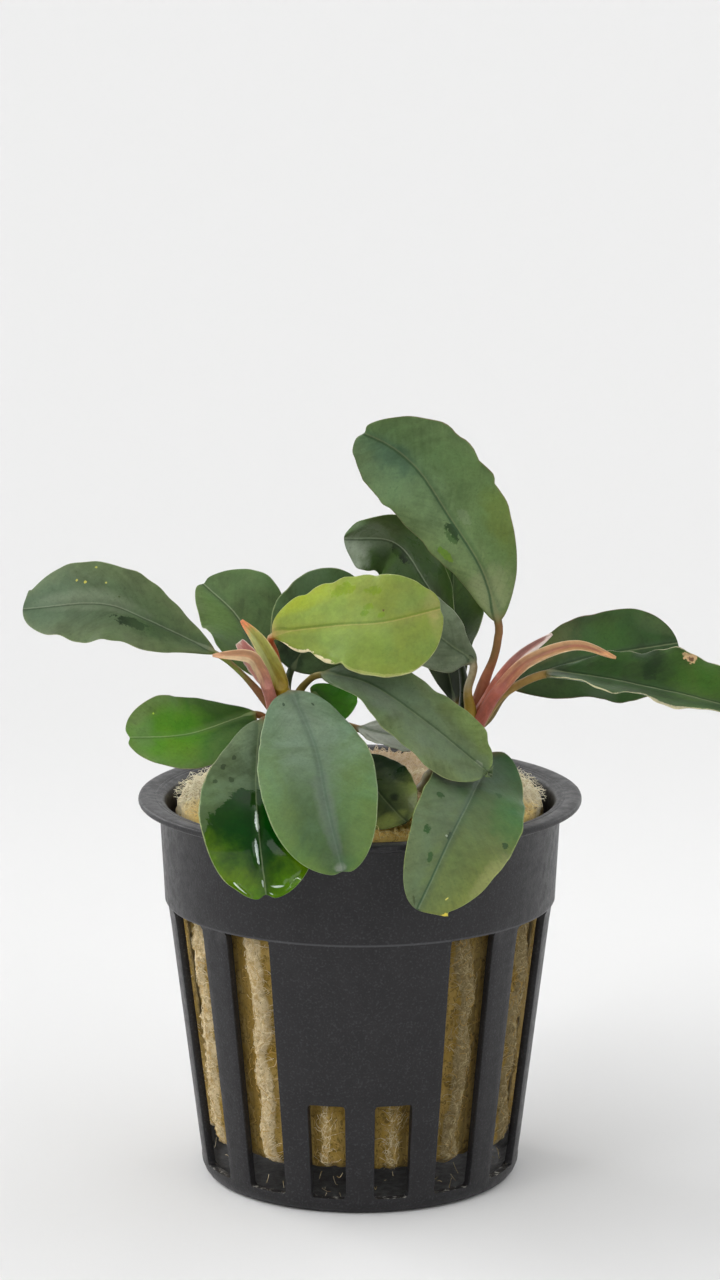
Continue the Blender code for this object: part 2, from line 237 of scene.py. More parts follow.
def pot_profile():
    """(radius, z) up the outer side, over the lip, down the inner side."""
    lip_z = POT_HEIGHT - 0.95
    outer = [(0, 0), (9, 0), (18.2, 0)]
    outer += [(18.8, 0.08), (19.25, 0.3), (19.6, 0.75), (wall_radius(1.4), 1.4)]
    heights = [SLOT_BOTTOM_Z, 5.0, 9.0, SHORT_SLOT_TOP_Z, 18.0, 22.0, 26.0, 30.0, 33.0, LONG_SLOT_TOP_Z]
    outer += [(wall_radius(z), z) for z in heights]
    outer += [(BAND_BOTTOM_RADIUS - 0.06, BAND_BOTTOM_Z - 0.08), (BAND_BOTTOM_RADIUS, BAND_BOTTOM_Z + 0.05)]
    outer += [(BAND_BOTTOM_RADIUS + 0.1, 37.5), (BAND_BOTTOM_RADIUS + 0.35, 42.0)]
    outer += [(BAND_TOP_RADIUS, BAND_TOP_Z), (BAND_TOP_RADIUS + 0.15, 47.15), (BAND_TOP_RADIUS + 0.5, lip_z)]
    lip = [(26.6, lip_z), (27.2, lip_z + 0.04), (27.42, lip_z + 0.16), (RIM_RADIUS, lip_z + 0.35)]
    lip += [(RIM_RADIUS, lip_z + 0.6), (27.42, 48.15), (27.22, 48.26), (26.9, POT_HEIGHT)]
    lip += [(26.2, 48.27), (25.55, 48.22), (25.42, 48.12), (25.3, 48.2), (25.12, 48.18), (25.0, 48.08)]
    lip += [(24.85, 48.12), (24.6, 48.05), (24.35, 47.85), (24.12, 47.5)]
    inner = [(BAND_TOP_RADIUS - WALL, 46.6), (23.6, 42.0), (23.35, 37.5), (23.2, 35.9), (22.95, 35.5)]
    inner += [(wall_radius(z) - WALL, z) for z in reversed(heights)]
    inner += [(18.5, 1.6), (18.0, 1.25), (17.3, 1.1), (9, 1.1), (0, 1.1)]
    return outer + lip + inner


pot_columns = pot_angles()
pot_rows = pot_profile()


def place_pot(column, row):
    angle = pot_columns[column]
    radius, z = pot_rows[row]
    slot = slot_at(angle)
    top = SHORT_SLOT_TOP_Z if slot in SHORT_SLOTS else LONG_SLOT_TOP_Z
    if slot and radius > FLOOR_RADIUS and z in (SLOT_BOTTOM_Z, top):
        # The corners of a slot are rounded
        from_side = min(from_front(angle) - slot[0], slot[1] - from_front(angle))
        reach = max(SLOT_CORNER - math.radians(max(from_side, 0)) * radius, 0)
        drop = SLOT_CORNER - math.sqrt(SLOT_CORNER**2 - reach**2)
        z += drop if z == SLOT_BOTTOM_Z else -drop
    on_panel = from_front(angle) < PANEL_HALF_ANGLE + 0.1 and row < OUTER_SIDE_ROWS
    if on_panel and SLOT_BOTTOM_Z < z < BAND_BOTTOM_Z:
        # The front panel runs up flush with the band
        panel_top = BAND_BOTTOM_RADIUS - RIBS_TOP_RADIUS
        radius = wall_radius(z) + panel_top * (z - SLOT_BOTTOM_Z) / (BAND_BOTTOM_Z - SLOT_BOTTOM_Z)
    turn = math.radians(angle)
    return Vector((radius * math.sin(turn), -radius * math.cos(turn), z))


def round_pot(point):
    """(degrees from the front, radius) of a point."""
    return math.degrees(math.atan2(point.x, -point.y)) % 360, math.hypot(point.x, point.y)


bm = rolled_sheet(len(pot_columns), len(pot_rows) - 1, place_pot)
openings = []
for face in bm.faces:
    middle = face.calc_center_median()
    angle, radius = round_pot(middle)
    slot = slot_at(angle)
    top = SHORT_SLOT_TOP_Z if slot in SHORT_SLOTS else LONG_SLOT_TOP_Z
    if slot and radius > FLOOR_RADIUS and SLOT_BOTTOM_Z < middle.z < top:
        openings.append(face)
bmesh.ops.delete(bm, geom=openings, context="FACES")
rims = {}
for edge in bm.edges:
    if edge.is_boundary:
        angle, radius = round_pot((edge.verts[0].co + edge.verts[1].co) / 2)
        opening = (slot_at(angle, 0.05), angle < 180)
        rims.setdefault(opening, []).append(edge)
for edges in rims.values():
    bmesh.ops.bridge_loops(bm, edges=edges)
bmesh.ops.recalc_face_normals(bm, faces=bm.faces)
crisp = [edge for edge in bm.edges if edge.is_manifold and edge.calc_face_angle() > math.radians(60)]
# The tops of the long slots are tight under the band's edge, and stay as they are
crisp = [edge for edge in crisp if not 34.4 < (edge.verts[0].co.z + edge.verts[1].co.z) / 2 < 35.1]
bmesh.ops.bevel(
    bm, geom=crisp, offset=SLOT_EDGE_ROUNDING, segments=2, profile=0.5, affect="EDGES", material=-1)

black_plastic, tree, shader = start_finish("charcoal_plastic", 0.5)
mottle = ramp(tree, grain(tree, 260, 6.0, 0.7), 0.35, 0.7)
speck = ramp(tree, grain(tree, 3800, 2.0, 0.5), 0.5, 0.75)
shade = blend_colour(tree, mottle, paint(24, 23, 25), paint(30, 29, 31))
shade = tinted(tree, shade, times(tree, speck, 0.45), (66, 65, 69))
# Dried lime from the water on the slots' sills
rise = place_parts(tree)["Z"]
sill = times(tree, ramp(tree, rise, 0.0018, 0.0021), ramp(tree, rise, 0.0026, 0.0022))
normal = add_node(tree, "ShaderNodeNewGeometry").outputs["Normal"]
upward = add_node(tree, "ShaderNodeSeparateXYZ", {0: normal}).outputs["Z"]
sill = times(tree, sill, ramp(tree, upward, 0.75, 0.95))
lime = times(tree, sill, ramp(tree, grain(tree, 1500, 4.0, 0.7), 0.55, 0.62, 0.0, 0.7))
shade = tinted(tree, shade, lime, (178, 176, 168))
# Painted highlight: a fine pale line where the band meets the ribs, for the band's lower edge catching light
painted_edge_highlight = times(tree, ramp(tree, rise, 0.03503, 0.03513), ramp(tree, rise, 0.0354, 0.03525))
shade = tinted(tree, shade, times(tree, painted_edge_highlight, 0.22), (120, 120, 124))
tree.links.new(shade, shader.inputs["Base Color"])
tree.links.new(ramp(tree, grain(tree, 900, 4.0), 0.3, 0.7, 0.35, 0.5), shader.inputs["Roughness"])
raise_surface(tree, shader, grain(tree, 4200, 3.0, 0.6), 0.00005, 0.6)
shader.inputs["Specular IOR Level"].default_value = 0.36
finish_piece("pot", bm, black_plastic, "net_pot", 40)


# Mineral wool plug: a roll of wool pressed into the pot. Its side shows in the
# slots as a pale loose ridge on denser amber wool, damper and in painted shade on
# the right. The cut top is fluffy, in thin layers. Loose fibres lie all over it.

PLUG_TOP_Z = 48.4
PLUG_BOTTOM_Z = 5.2
PLUG_LID_Z = 46.3
PLUG_TOP_RADIUS = 22.7
WOOL_SIDE_ROWS = 160
WOOL_STEPS_IN_SLOT = 26


def bumpy(x, y, z, size):
    """Smooth noise from about -1 to 1 with bumps of about that size."""
    return noise.noise(Vector((x, y, z)) / size)


def slot_top(slot):
    return SHORT_SLOT_TOP_Z if slot in SHORT_SLOTS else LONG_SLOT_TOP_Z


def ridge_middle(slot, seed, z):
    """Where the pale ridge lies across a slot, from 0 at its front side to 1."""
    return 0.54 + 0.16 * bumpy(seed, z, 0, 15) + 0.2 * bumpy(seed, z, 30, 5)


def across_slot(angle):
    """Place across a slot, from 0 at its front side to 1; -1 behind a rib."""
    slot = slot_at(angle)
    return (from_front(angle) - slot[0]) / (slot[1] - slot[0]) if slot else -1.0


def pale_ridge(angle, z):
    """1 on the pale ridge of loose wool that runs up a slot, 0 away from it."""
    slot = slot_at(angle)
    if not slot:
        return 0.0
    seed = slot[0] + (200 if angle < 180 else 0)
    width = 0.2 + 0.12 * bumpy(seed, z, 60, 3)
    loose = math.exp(-(((across_slot(angle) - ridge_middle(slot, seed, z)) / width) ** 4))
    return loose * (0.45 if slot in SHORT_SLOTS else 1.0)


def slot_bulge(angle, z):
    """0 behind a rib, 1 in the middle of a slot."""
    slot = slot_at(angle)
    if not slot:
        return 0.0
    return math.sin(math.pi * across_slot(angle)) * min(max((slot_top(slot) - z) / 3, 0), 1)


def wool_surface(angle, z, extra=0.0):
    turn = math.radians(angle)
    radius = min(wall_radius(z) - WALL - 0.55, PLUG_TOP_RADIUS) + 0.35 * slot_bulge(angle, z)
    x = radius * math.sin(turn)
    y = -radius * math.cos(turn)
    ragged = PLUG_BOTTOM_Z + 0.7 * bumpy(x, y, 0, 2.5) + 0.35 * bumpy(x, y, 7, 0.8)
    radius -= 1.3 * max(0, 1 - (z - ragged) / 1.5) ** 2
    ridge = pale_ridge(angle, z)
    clumps = 0.3 * bumpy(x, y, z * 0.6, 1.5) + 0.32 * bumpy(x, y, z * 0.8, 0.7) + 0.14 * bumpy(x, y, z, 0.4)
    relief = 0.7 * ridge + clumps * (0.25 + 0.75 * ridge) - 0.45
    if z > LONG_SLOT_TOP_Z:
        relief *= 0.5
    stretch = min(1 + (relief + extra) / radius, (wall_radius(z) - 0.4) / radius)
    return Vector((radius * math.sin(turn) * stretch, -radius * math.cos(turn) * stretch, z))


def wool_angles():
    """Columns of the wool: fine in the slots, where it shows, coarse behind the ribs."""
    edges = [0.0]
    for start, end in sorted(SHORT_SLOTS + LONG_SLOTS):
        edges += [start + (end - start) * k / WOOL_STEPS_IN_SLOT for k in range(WOOL_STEPS_IN_SLOT + 1)]
    half = []
    for low, high in zip(edges, edges[1:] + [180.0]):
        parts = max(1, round((high - low) / 2.5))
        half += [low + (high - low) * k / parts for k in range(parts)]
    return half + [180.0] + [360 - angle for angle in reversed(half[1:])]


wool_columns = wool_angles()


def wool_height(row):
    return PLUG_BOTTOM_Z + (PLUG_LID_Z - PLUG_BOTTOM_Z) * (row - 1) / WOOL_SIDE_ROWS


def place_wool(column, row):
    angle = wool_columns[column]
    if row in (0, WOOL_SIDE_ROWS + 2):
        return Vector((0, 0, PLUG_BOTTOM_Z if row == 0 else PLUG_LID_Z))
    return wool_surface(angle, wool_height(row))


def note_wool(column, row):
    angle = wool_columns[column]
    return {"wool": (pale_ridge(angle, wool_height(row)), across_slot(angle), 0)}


def dry_lit_to_damp_shaded(tree, dry, damp_shaded):
    """The wool is paler on the left of the pot than on the right: partly drier wool, partly painted light as
    from the left.
    """
    return blend_colour(tree, ramp(tree, place_parts(tree)["X"], -0.012, 0.014), paint(*dry), paint(*damp_shaded))


bm = rolled_sheet(len(wool_columns), WOOL_SIDE_ROWS + 2, place_wool, note_wool)
bmesh.ops.recalc_face_normals(bm, faces=bm.faces)

mineral_wool, tree, shader = start_finish("mineral_wool", 0.95)
broad = ramp(tree, grain(tree, 260, 4.0, 0.6, 0.8), 0.35, 0.65)
strands = grain(tree, 2400, 5.0, 0.7, 1.6, 2.0)
# Painted shade: dark spots where pits in the wool would lie in shadow
painted_pit_shade = ramp(tree, grain(tree, 1900, 4.0, 0.7, 1.0, 1.3), 0.5, 0.38)
deep_amber = dry_lit_to_damp_shaded(tree, (164, 132, 48), (150, 122, 52))
shade = blend_colour(tree, broad, deep_amber, dry_lit_to_damp_shaded(tree, (190, 160, 90), (160, 134, 70)))
marks = add_node(tree, "ShaderNodeAttribute", attribute_name="wool").outputs["Vector"]
marks = add_node(tree, "ShaderNodeSeparateXYZ", {0: marks}).outputs
# Towards the far side of each slot the wool is smooth and darker: painted shade where it curves in beside
# the rib
far_side_painted_shade = ramp(tree, marks["Y"], 0.6, 0.9, 0.0, 0.75)
shade = blend_colour(tree, far_side_painted_shade, shade, dry_lit_to_damp_shaded(tree, (140, 110, 36), (110, 92, 42)))
shade = blend_colour(
    tree, times(tree, painted_pit_shade, 0.7), shade, dry_lit_to_damp_shaded(tree, (96, 80, 24), (76, 60, 20)))
loose = plus(tree, marks["X"], off_middle(tree, strands, 0.9))
ridge = blend_colour(
    tree, times(tree, painted_pit_shade, 0.5), dry_lit_to_damp_shaded(tree, (222, 202, 158), (140, 124, 84)),
    dry_lit_to_damp_shaded(tree, (136, 112, 66), (84, 70, 38)))
shade = blend_colour(tree, ramp(tree, loose, 0.35, 0.65), shade, ridge)
tree.links.new(shade, shader.inputs["Base Color"])
raise_surface(tree, shader, strands, 0.0004)
finish_piece("wool_plug", bm, mineral_wool, "rockwool_plug")

TOP_COLUMNS = 300
TOP_ROWS = 84
TOP_SKIRT_ROWS = 6
LAYER_SPACING = 0.95


def wool_top_height(x, y):
    """The cut top shows the wool's layers as thin ridges that run front to back."""
    layers = 0.16 * math.sin(2 * math.pi * (x + 0.7 * bumpy(x, y, 0, 6)) / LAYER_SPACING)
    fuzz = 0.35 * bumpy(x, y, 5, 3.0) + 0.3 * bumpy(x, y, 9, 0.9) + 0.22 * bumpy(x, y, 14, 0.45)
    drop = 0.7 * max(0, (math.hypot(x, y) - 20.5) / 2.0) ** 2
    back = 0.4 * min(max((y + 5) / 20, 0), 1)
    return PLUG_TOP_Z + layers + fuzz + back - drop


def place_top(column, row):
    turn = 2 * math.pi * column / TOP_COLUMNS
    ragged = 0.3 * bumpy(22 * math.sin(turn), 22 * math.cos(turn), 3, 2.0)
    edge = PLUG_TOP_RADIUS - 0.2 + ragged
    if row <= TOP_SKIRT_ROWS:
        low = PLUG_TOP_Z - 0.8 - 2.6 * (1 - row / TOP_SKIRT_ROWS)
        return Vector((edge * math.sin(turn), -edge * math.cos(turn), low))
    radius = edge * (1 - (row - TOP_SKIRT_ROWS) / TOP_ROWS)
    x = radius * math.sin(turn)
    y = -radius * math.cos(turn)
    return Vector((x, y, wool_top_height(x, y)))


bm = rolled_sheet(TOP_COLUMNS, TOP_SKIRT_ROWS + TOP_ROWS, place_top)
close_ends(bm)


def top_colours(tree, pale, ochre):
    """Cream wool, pinker in the middle, that turns ochre towards the front of the top, painted extra bright
    there as painted light where the leaves shade it.
    """
    patchy = off_middle(tree, grain(tree, 150, 3.0), 0.03)
    front = ramp(tree, plus(tree, place_parts(tree)["Y"], patchy), -0.001, -0.014)
    sideways = work_out(tree, "ABSOLUTE", plus(tree, place_parts(tree)["X"], patchy))
    cream = tinted(tree, paint(*pale), ramp(tree, sideways, 0.016, 0.008, 0.0, 0.6), (192, 158, 122))
    return tinted(tree, cream, front, ochre)


wool_top, tree, shader = start_finish("wool_top", 0.95)
shade = top_colours(tree, (226, 212, 174), (250, 214, 122))
# Painted shade: dark spots where pits in the top would lie in shadow
painted_pit_shade = ramp(tree, grain(tree, 2100, 4.0, 0.7, 1.0), 0.46, 0.34)
shade = tinted(tree, shade, times(tree, painted_pit_shade, 0.8), (166, 130, 70))
tree.links.new(shade, shader.inputs["Base Color"])
raise_surface(tree, shader, grain(tree, 2600, 5.0, 0.75, 1.5), 0.0003)
finish_piece("wool_top", bm, wool_top, "rockwool_plug")

FIBRE_RADIUS = 0.03
FIBRE_POINTS = 6
PLUG_MIDDLE_RADIUS = 20
TOP_ROUND_RADIUS = 22.0
TOP_FIBRE_REACH = 23.2


def lay_fibres(name, finish, fibre, count, seed):
    """Fine fibres as one mesh: fibre(draw) gives the points of each."""
    draw = random.Random(seed)
    curve = bpy.data.curves.new(name, "CURVE")
    curve.dimensions = "3D"
    curve.bevel_depth = FIBRE_RADIUS * MM
    curve.bevel_resolution = 0
    curve.use_fill_caps = True
    for _ in range(count):
        points = fibre(draw)
        if len(points) < 3:
            continue
        spline = curve.splines.new("POLY")
        spline.points.add(len(points) - 1)
        thickness = draw.uniform(0.6, 1.4)
        for spot, point in zip(spline.points, points):
            spot.co = (*(point * MM), 1.0)
            spot.radius = thickness
    holder = bpy.data.objects.new(name, curve)
    mesh = bpy.data.meshes.new_from_object(holder)
    bpy.data.objects.remove(holder)
    mesh.materials.clear()
    mesh.materials.append(finish)
    mesh.shade_smooth()
    piece = bpy.data.objects.new(name, mesh)
    bpy.context.scene.collection.objects.link(piece)
    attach(piece, "root")


def side_fibre(draw, half, spread):
    """A curly fibre on the pale ridge in a slot, on one half of the pot; spread
    is how far from the ridge such fibres lie."""
    slot = draw.choice(SHORT_SLOTS + LONG_SLOTS * 4)
    z = draw.uniform(PLUG_BOTTOM_Z, slot_top(slot))
    middle = ridge_middle(slot, slot[0] + (200 if half > 0 else 0), z)
    place = draw.gauss(middle, spread)
    angle = half * (slot[0] + (slot[1] - slot[0]) * min(max(place, 0.02), 0.98))
    heading = math.pi / 2 + draw.gauss(0, 0.7)
    bend = draw.gauss(0, 0.3)
    length = draw.uniform(0.6, 2.3)
    lift = draw.uniform(0.02, 0.3)
    points = []
    for k in range(FIBRE_POINTS):
        if not PLUG_BOTTOM_Z - 0.6 < z < slot_top(slot) - 0.1:
            break
        t = k / (FIBRE_POINTS - 1)
        points.append(wool_surface(angle % 360, z, 0.02 + lift * math.sin(math.pi * t)))
        step = length / FIBRE_POINTS
        angle += math.degrees(step * math.cos(heading) / PLUG_MIDDLE_RADIUS)
        z += step * math.sin(heading) * (1 if lift < 0.26 else -1)
        heading += bend + draw.gauss(0, 0.35)
    return points


def sill_fibre(draw):
    """A stray fibre that hangs or lies in the dark gap under the wool."""
    slot = draw.choice(SHORT_SLOTS * 2 + LONG_SLOTS)
    angle = math.radians(draw.uniform(slot[0] + 1, slot[1] - 1) * draw.choice((-1, 1)))
    radius = draw.uniform(17.6, 18.6)
    start = Vector((radius * math.sin(angle), -radius * math.cos(angle), 0))
    z = draw.uniform(2.2, 5.0)
    drift = Vector((draw.gauss(0, 1), draw.gauss(0, 1), 0)) * draw.uniform(0.3, 0.7)
    fall = draw.uniform(-1.5, 0.3)
    sag = draw.gauss(0, 0.2)
    points = []
    for k in range(FIBRE_POINTS):
        t = k / (FIBRE_POINTS - 1)
        height = z + fall * t + sag * math.sin(math.pi * t)
        if height < 1.3:
            break
        points.append(start + drift * t + Vector((0, 0, height)))
    return points


def top_fibre(draw):
    """A fibre that lies on the cut top or sticks out at its edge."""
    turn = draw.uniform(0, 2 * math.pi)
    radius = PLUG_TOP_RADIUS * draw.uniform(0, 1) ** 0.3
    x = radius * math.cos(turn)
    y = radius * math.sin(turn)
    heading = turn + draw.choice((0, math.pi)) + draw.gauss(0, 0.5)
    bend = draw.gauss(0, 0.07)
    length = draw.uniform(0.8, 3.0)
    lift = abs(draw.gauss(0.15, 0.35))
    points = []
    for k in range(FIBRE_POINTS):
        reach = math.hypot(x, y)
        if reach > TOP_FIBRE_REACH:
            break
        inner = min(1, TOP_ROUND_RADIUS / max(reach, 0.01))
        height = wool_top_height(x * inner, y * inner) + 0.02
        points.append(Vector((x, y, height + lift * math.sin(math.pi * k / (FIBRE_POINTS - 1)))))
        x += length / FIBRE_POINTS * math.cos(heading)
        y += length / FIBRE_POINTS * math.sin(heading)
        heading += bend + draw.gauss(0, 0.15)
    return points


pale_strand, tree, shader = start_finish("wool_pale_strands", 0.75)
tint = ramp(tree, grain(tree, 1500, 3.0, 0.6), 0.4, 0.62)
pale = dry_lit_to_damp_shaded(tree, (248, 234, 198), (178, 162, 118))
shade = blend_colour(tree, tint, pale, dry_lit_to_damp_shaded(tree, (206, 178, 118), (132, 112, 68)))
tree.links.new(shade, shader.inputs["Base Color"])
amber_strand, tree, shader = start_finish("wool_amber_strands", 0.75)
tree.links.new(dry_lit_to_damp_shaded(tree, (206, 170, 92), (176, 142, 70)), shader.inputs["Base Color"])
top_strand, tree, shader = start_finish("wool_top_strands", 0.75)
tree.links.new(top_colours(tree, (255, 248, 224), (255, 232, 160)), shader.inputs["Base Color"])


def left_fibre(draw):
    return side_fibre(draw, -1, 0.075)


def right_fibre(draw):
    return side_fibre(draw, 1, 0.12)


def amber_fibre(draw):
    return side_fibre(draw, draw.choice((-1, 1)), 0.4)


lay_fibres("wool_fibres_left", pale_strand, left_fibre, count=2300, seed=3)
lay_fibres("wool_fibres_right", pale_strand, right_fibre, count=2700, seed=4)
lay_fibres("wool_fibres_amber", amber_strand, amber_fibre, count=1240, seed=6)
lay_fibres("wool_fibres_low", pale_strand, sill_fibre, count=60, seed=8)
lay_fibres("wool_fibres_top", top_strand, top_fibre, count=3560, seed=5)


# Rhizomes: two short leaning stems that come out of the wool, olive brown with
# ring scars, and reddish at the crown where the leaf stalks grow out.

RHIZOME_RADIUS = 1.3
RHIZOME_FOOT_Z = 45.9
LINE_STEPS = 16


def smooth_line(points):
    """A Catmull-Rom curve through the points, as closely spaced points."""
    points = [Vector(point) for point in points]
    ends = [2 * points[0] - points[1], *points, 2 * points[-1] - points[-2]]
    line = []
    for before, start, end, after in zip(ends, ends[1:], ends[2:], ends[3:]):
        for step in range(LINE_STEPS):
            t = step / LINE_STEPS
            bend = (2 * before - 5 * start + 4 * end - after) * t**2
            twist = (3 * start - before - 3 * end + after) * t**3
            line.append((2 * start + (end - before) * t + bend + twist) / 2)
    line.append(points[-1])
    return line


def point_at(line, fraction):
    lengths = [(b - a).length for a, b in zip(line, line[1:])]
    left = min(max(fraction, 0), 1) * sum(lengths)
    for start, end, length in zip(line, line[1:], lengths):
        if left <= length:
            break
        left -= length
    return start.lerp(end, min(left / length, 1.0))


def along_line(line, fraction):
    """Point and smooth direction at a fraction of a line's length."""
    ahead = point_at(line, fraction + 0.02)
    behind = point_at(line, fraction - 0.02)
    return point_at(line, fraction), (ahead - behind).normalized()


def rhizome(name, foot, top):
    line = smooth_line([foot, Vector(foot).lerp(Vector(top), 0.5) + Vector((0, 0.3, 0)), top])
    rows = 60
    columns = 40

    def place(column, row):
        t = row / rows
        centre, along = along_line(line, t)
        side = along.cross(Vector((0, 1, 0))).normalized()
        up = side.cross(along)
        turn = 2 * math.pi * column / columns
        out = side * math.cos(turn) + up * math.sin(turn)
        scars = 0.07 * math.sin(2 * math.pi * 7.5 * t + 1.2 * math.sin(turn))
        lumps = 0.12 * bumpy(*(centre + out * 1.3), 0.9)
        cap = math.sqrt(max(1 - (max(t - 0.9, 0) / 0.1) ** 2, 0))
        return centre + out * (RHIZOME_RADIUS + scars + lumps) * max(cap, 0.02)

    bm = rolled_sheet(columns, rows, place)
    close_ends(bm)
    finish_piece(name + "_stem", bm, stem_skin, name)


stem_skin, tree, shader = start_finish("stem_skin", 0.55)
rise = ramp(tree, place_parts(tree)["Z"], 0.053, 0.0585)
shade = blend_colour(tree, rise, paint(96, 88, 44), paint(164, 112, 74))
patch = ramp(tree, grain(tree, 700, 4.0), 0.45, 0.65)
shade = tinted(tree, shade, times(tree, patch, 0.5), (140, 132, 60))
tree.links.new(shade, shader.inputs["Base Color"])
raise_surface(tree, shader, grain(tree, 1500, 4.0), 0.00012, 0.6)
shader.inputs["Subsurface Weight"].default_value = 0.08
shader.inputs["Subsurface Radius"].default_value = (0.001, 0.0004, 0.0003)
rhizome("rhizome_left", (-5.5, -0.9, RHIZOME_FOOT_Z), (-9.6, -1.6, 60.4))
rhizome("rhizome_right", (6.4, -0.5, RHIZOME_FOOT_Z), (15.0, -0.6, 59.4))


# Leaves: leathery blades, each one piece with its stalk. A groove runs up the
# midrib, the margin is thin, pale and wavy, the tip is often notched, and the
# stalk clasps the rhizome with its wider base.

HALF_COLUMNS = 19
BLADE_ROWS = 80
STALK_ROWS = 18
STALK_RADIUS = 0.45
SHEATH_RADIUS = 0.85
BLADE_HALF_THICKNESS = 0.2
RIB_GROOVE = 0.16
RIB_RIDGE = 0.28
VEIN_SPACING = 1.5
VEIN_SLANT = 1.15
MARGIN_CROWDING = 0.75
FLAT_FROM = 0.12
FOLD_SOFTNESS = 0.02
CURL_FROM = 0.62
GROOVE_WIDTH = 0.32
RIDGE_WIDTH = 0.5
NOTCH_WIDTH = 0.7
SOFT_PATCH_WIDTH = 0.15
QUILT_SIZE = 2.8


def facing(azimuth, elevation):
    """Unit vector: azimuth 0 is the front, + towards +X; elevation is upwards."""
    turn = math.radians(azimuth)
    rise = math.radians(elevation)
    return Vector((math.sin(turn) * math.cos(rise), -math.cos(turn) * math.cos(rise), math.sin(rise)))


def width_at(widths, s):
    """Half width from three values, for the blade's base, middle and tip."""
    base, middle, tip = widths
    fullness = base * (1 - s) * (1 - 2 * s) + 4 * middle * s * (1 - s) + tip * s * (2 * s - 1)
    return max(fullness, 0) * math.sqrt(max(4 * s * (1 - s), 0))


def soft_step(value):
    value = min(max(value, 0), 1)
    return value * value * (3 - 2 * value)


def hump(value, middle, width):
    return math.exp(-(((value - middle) / width) ** 2))


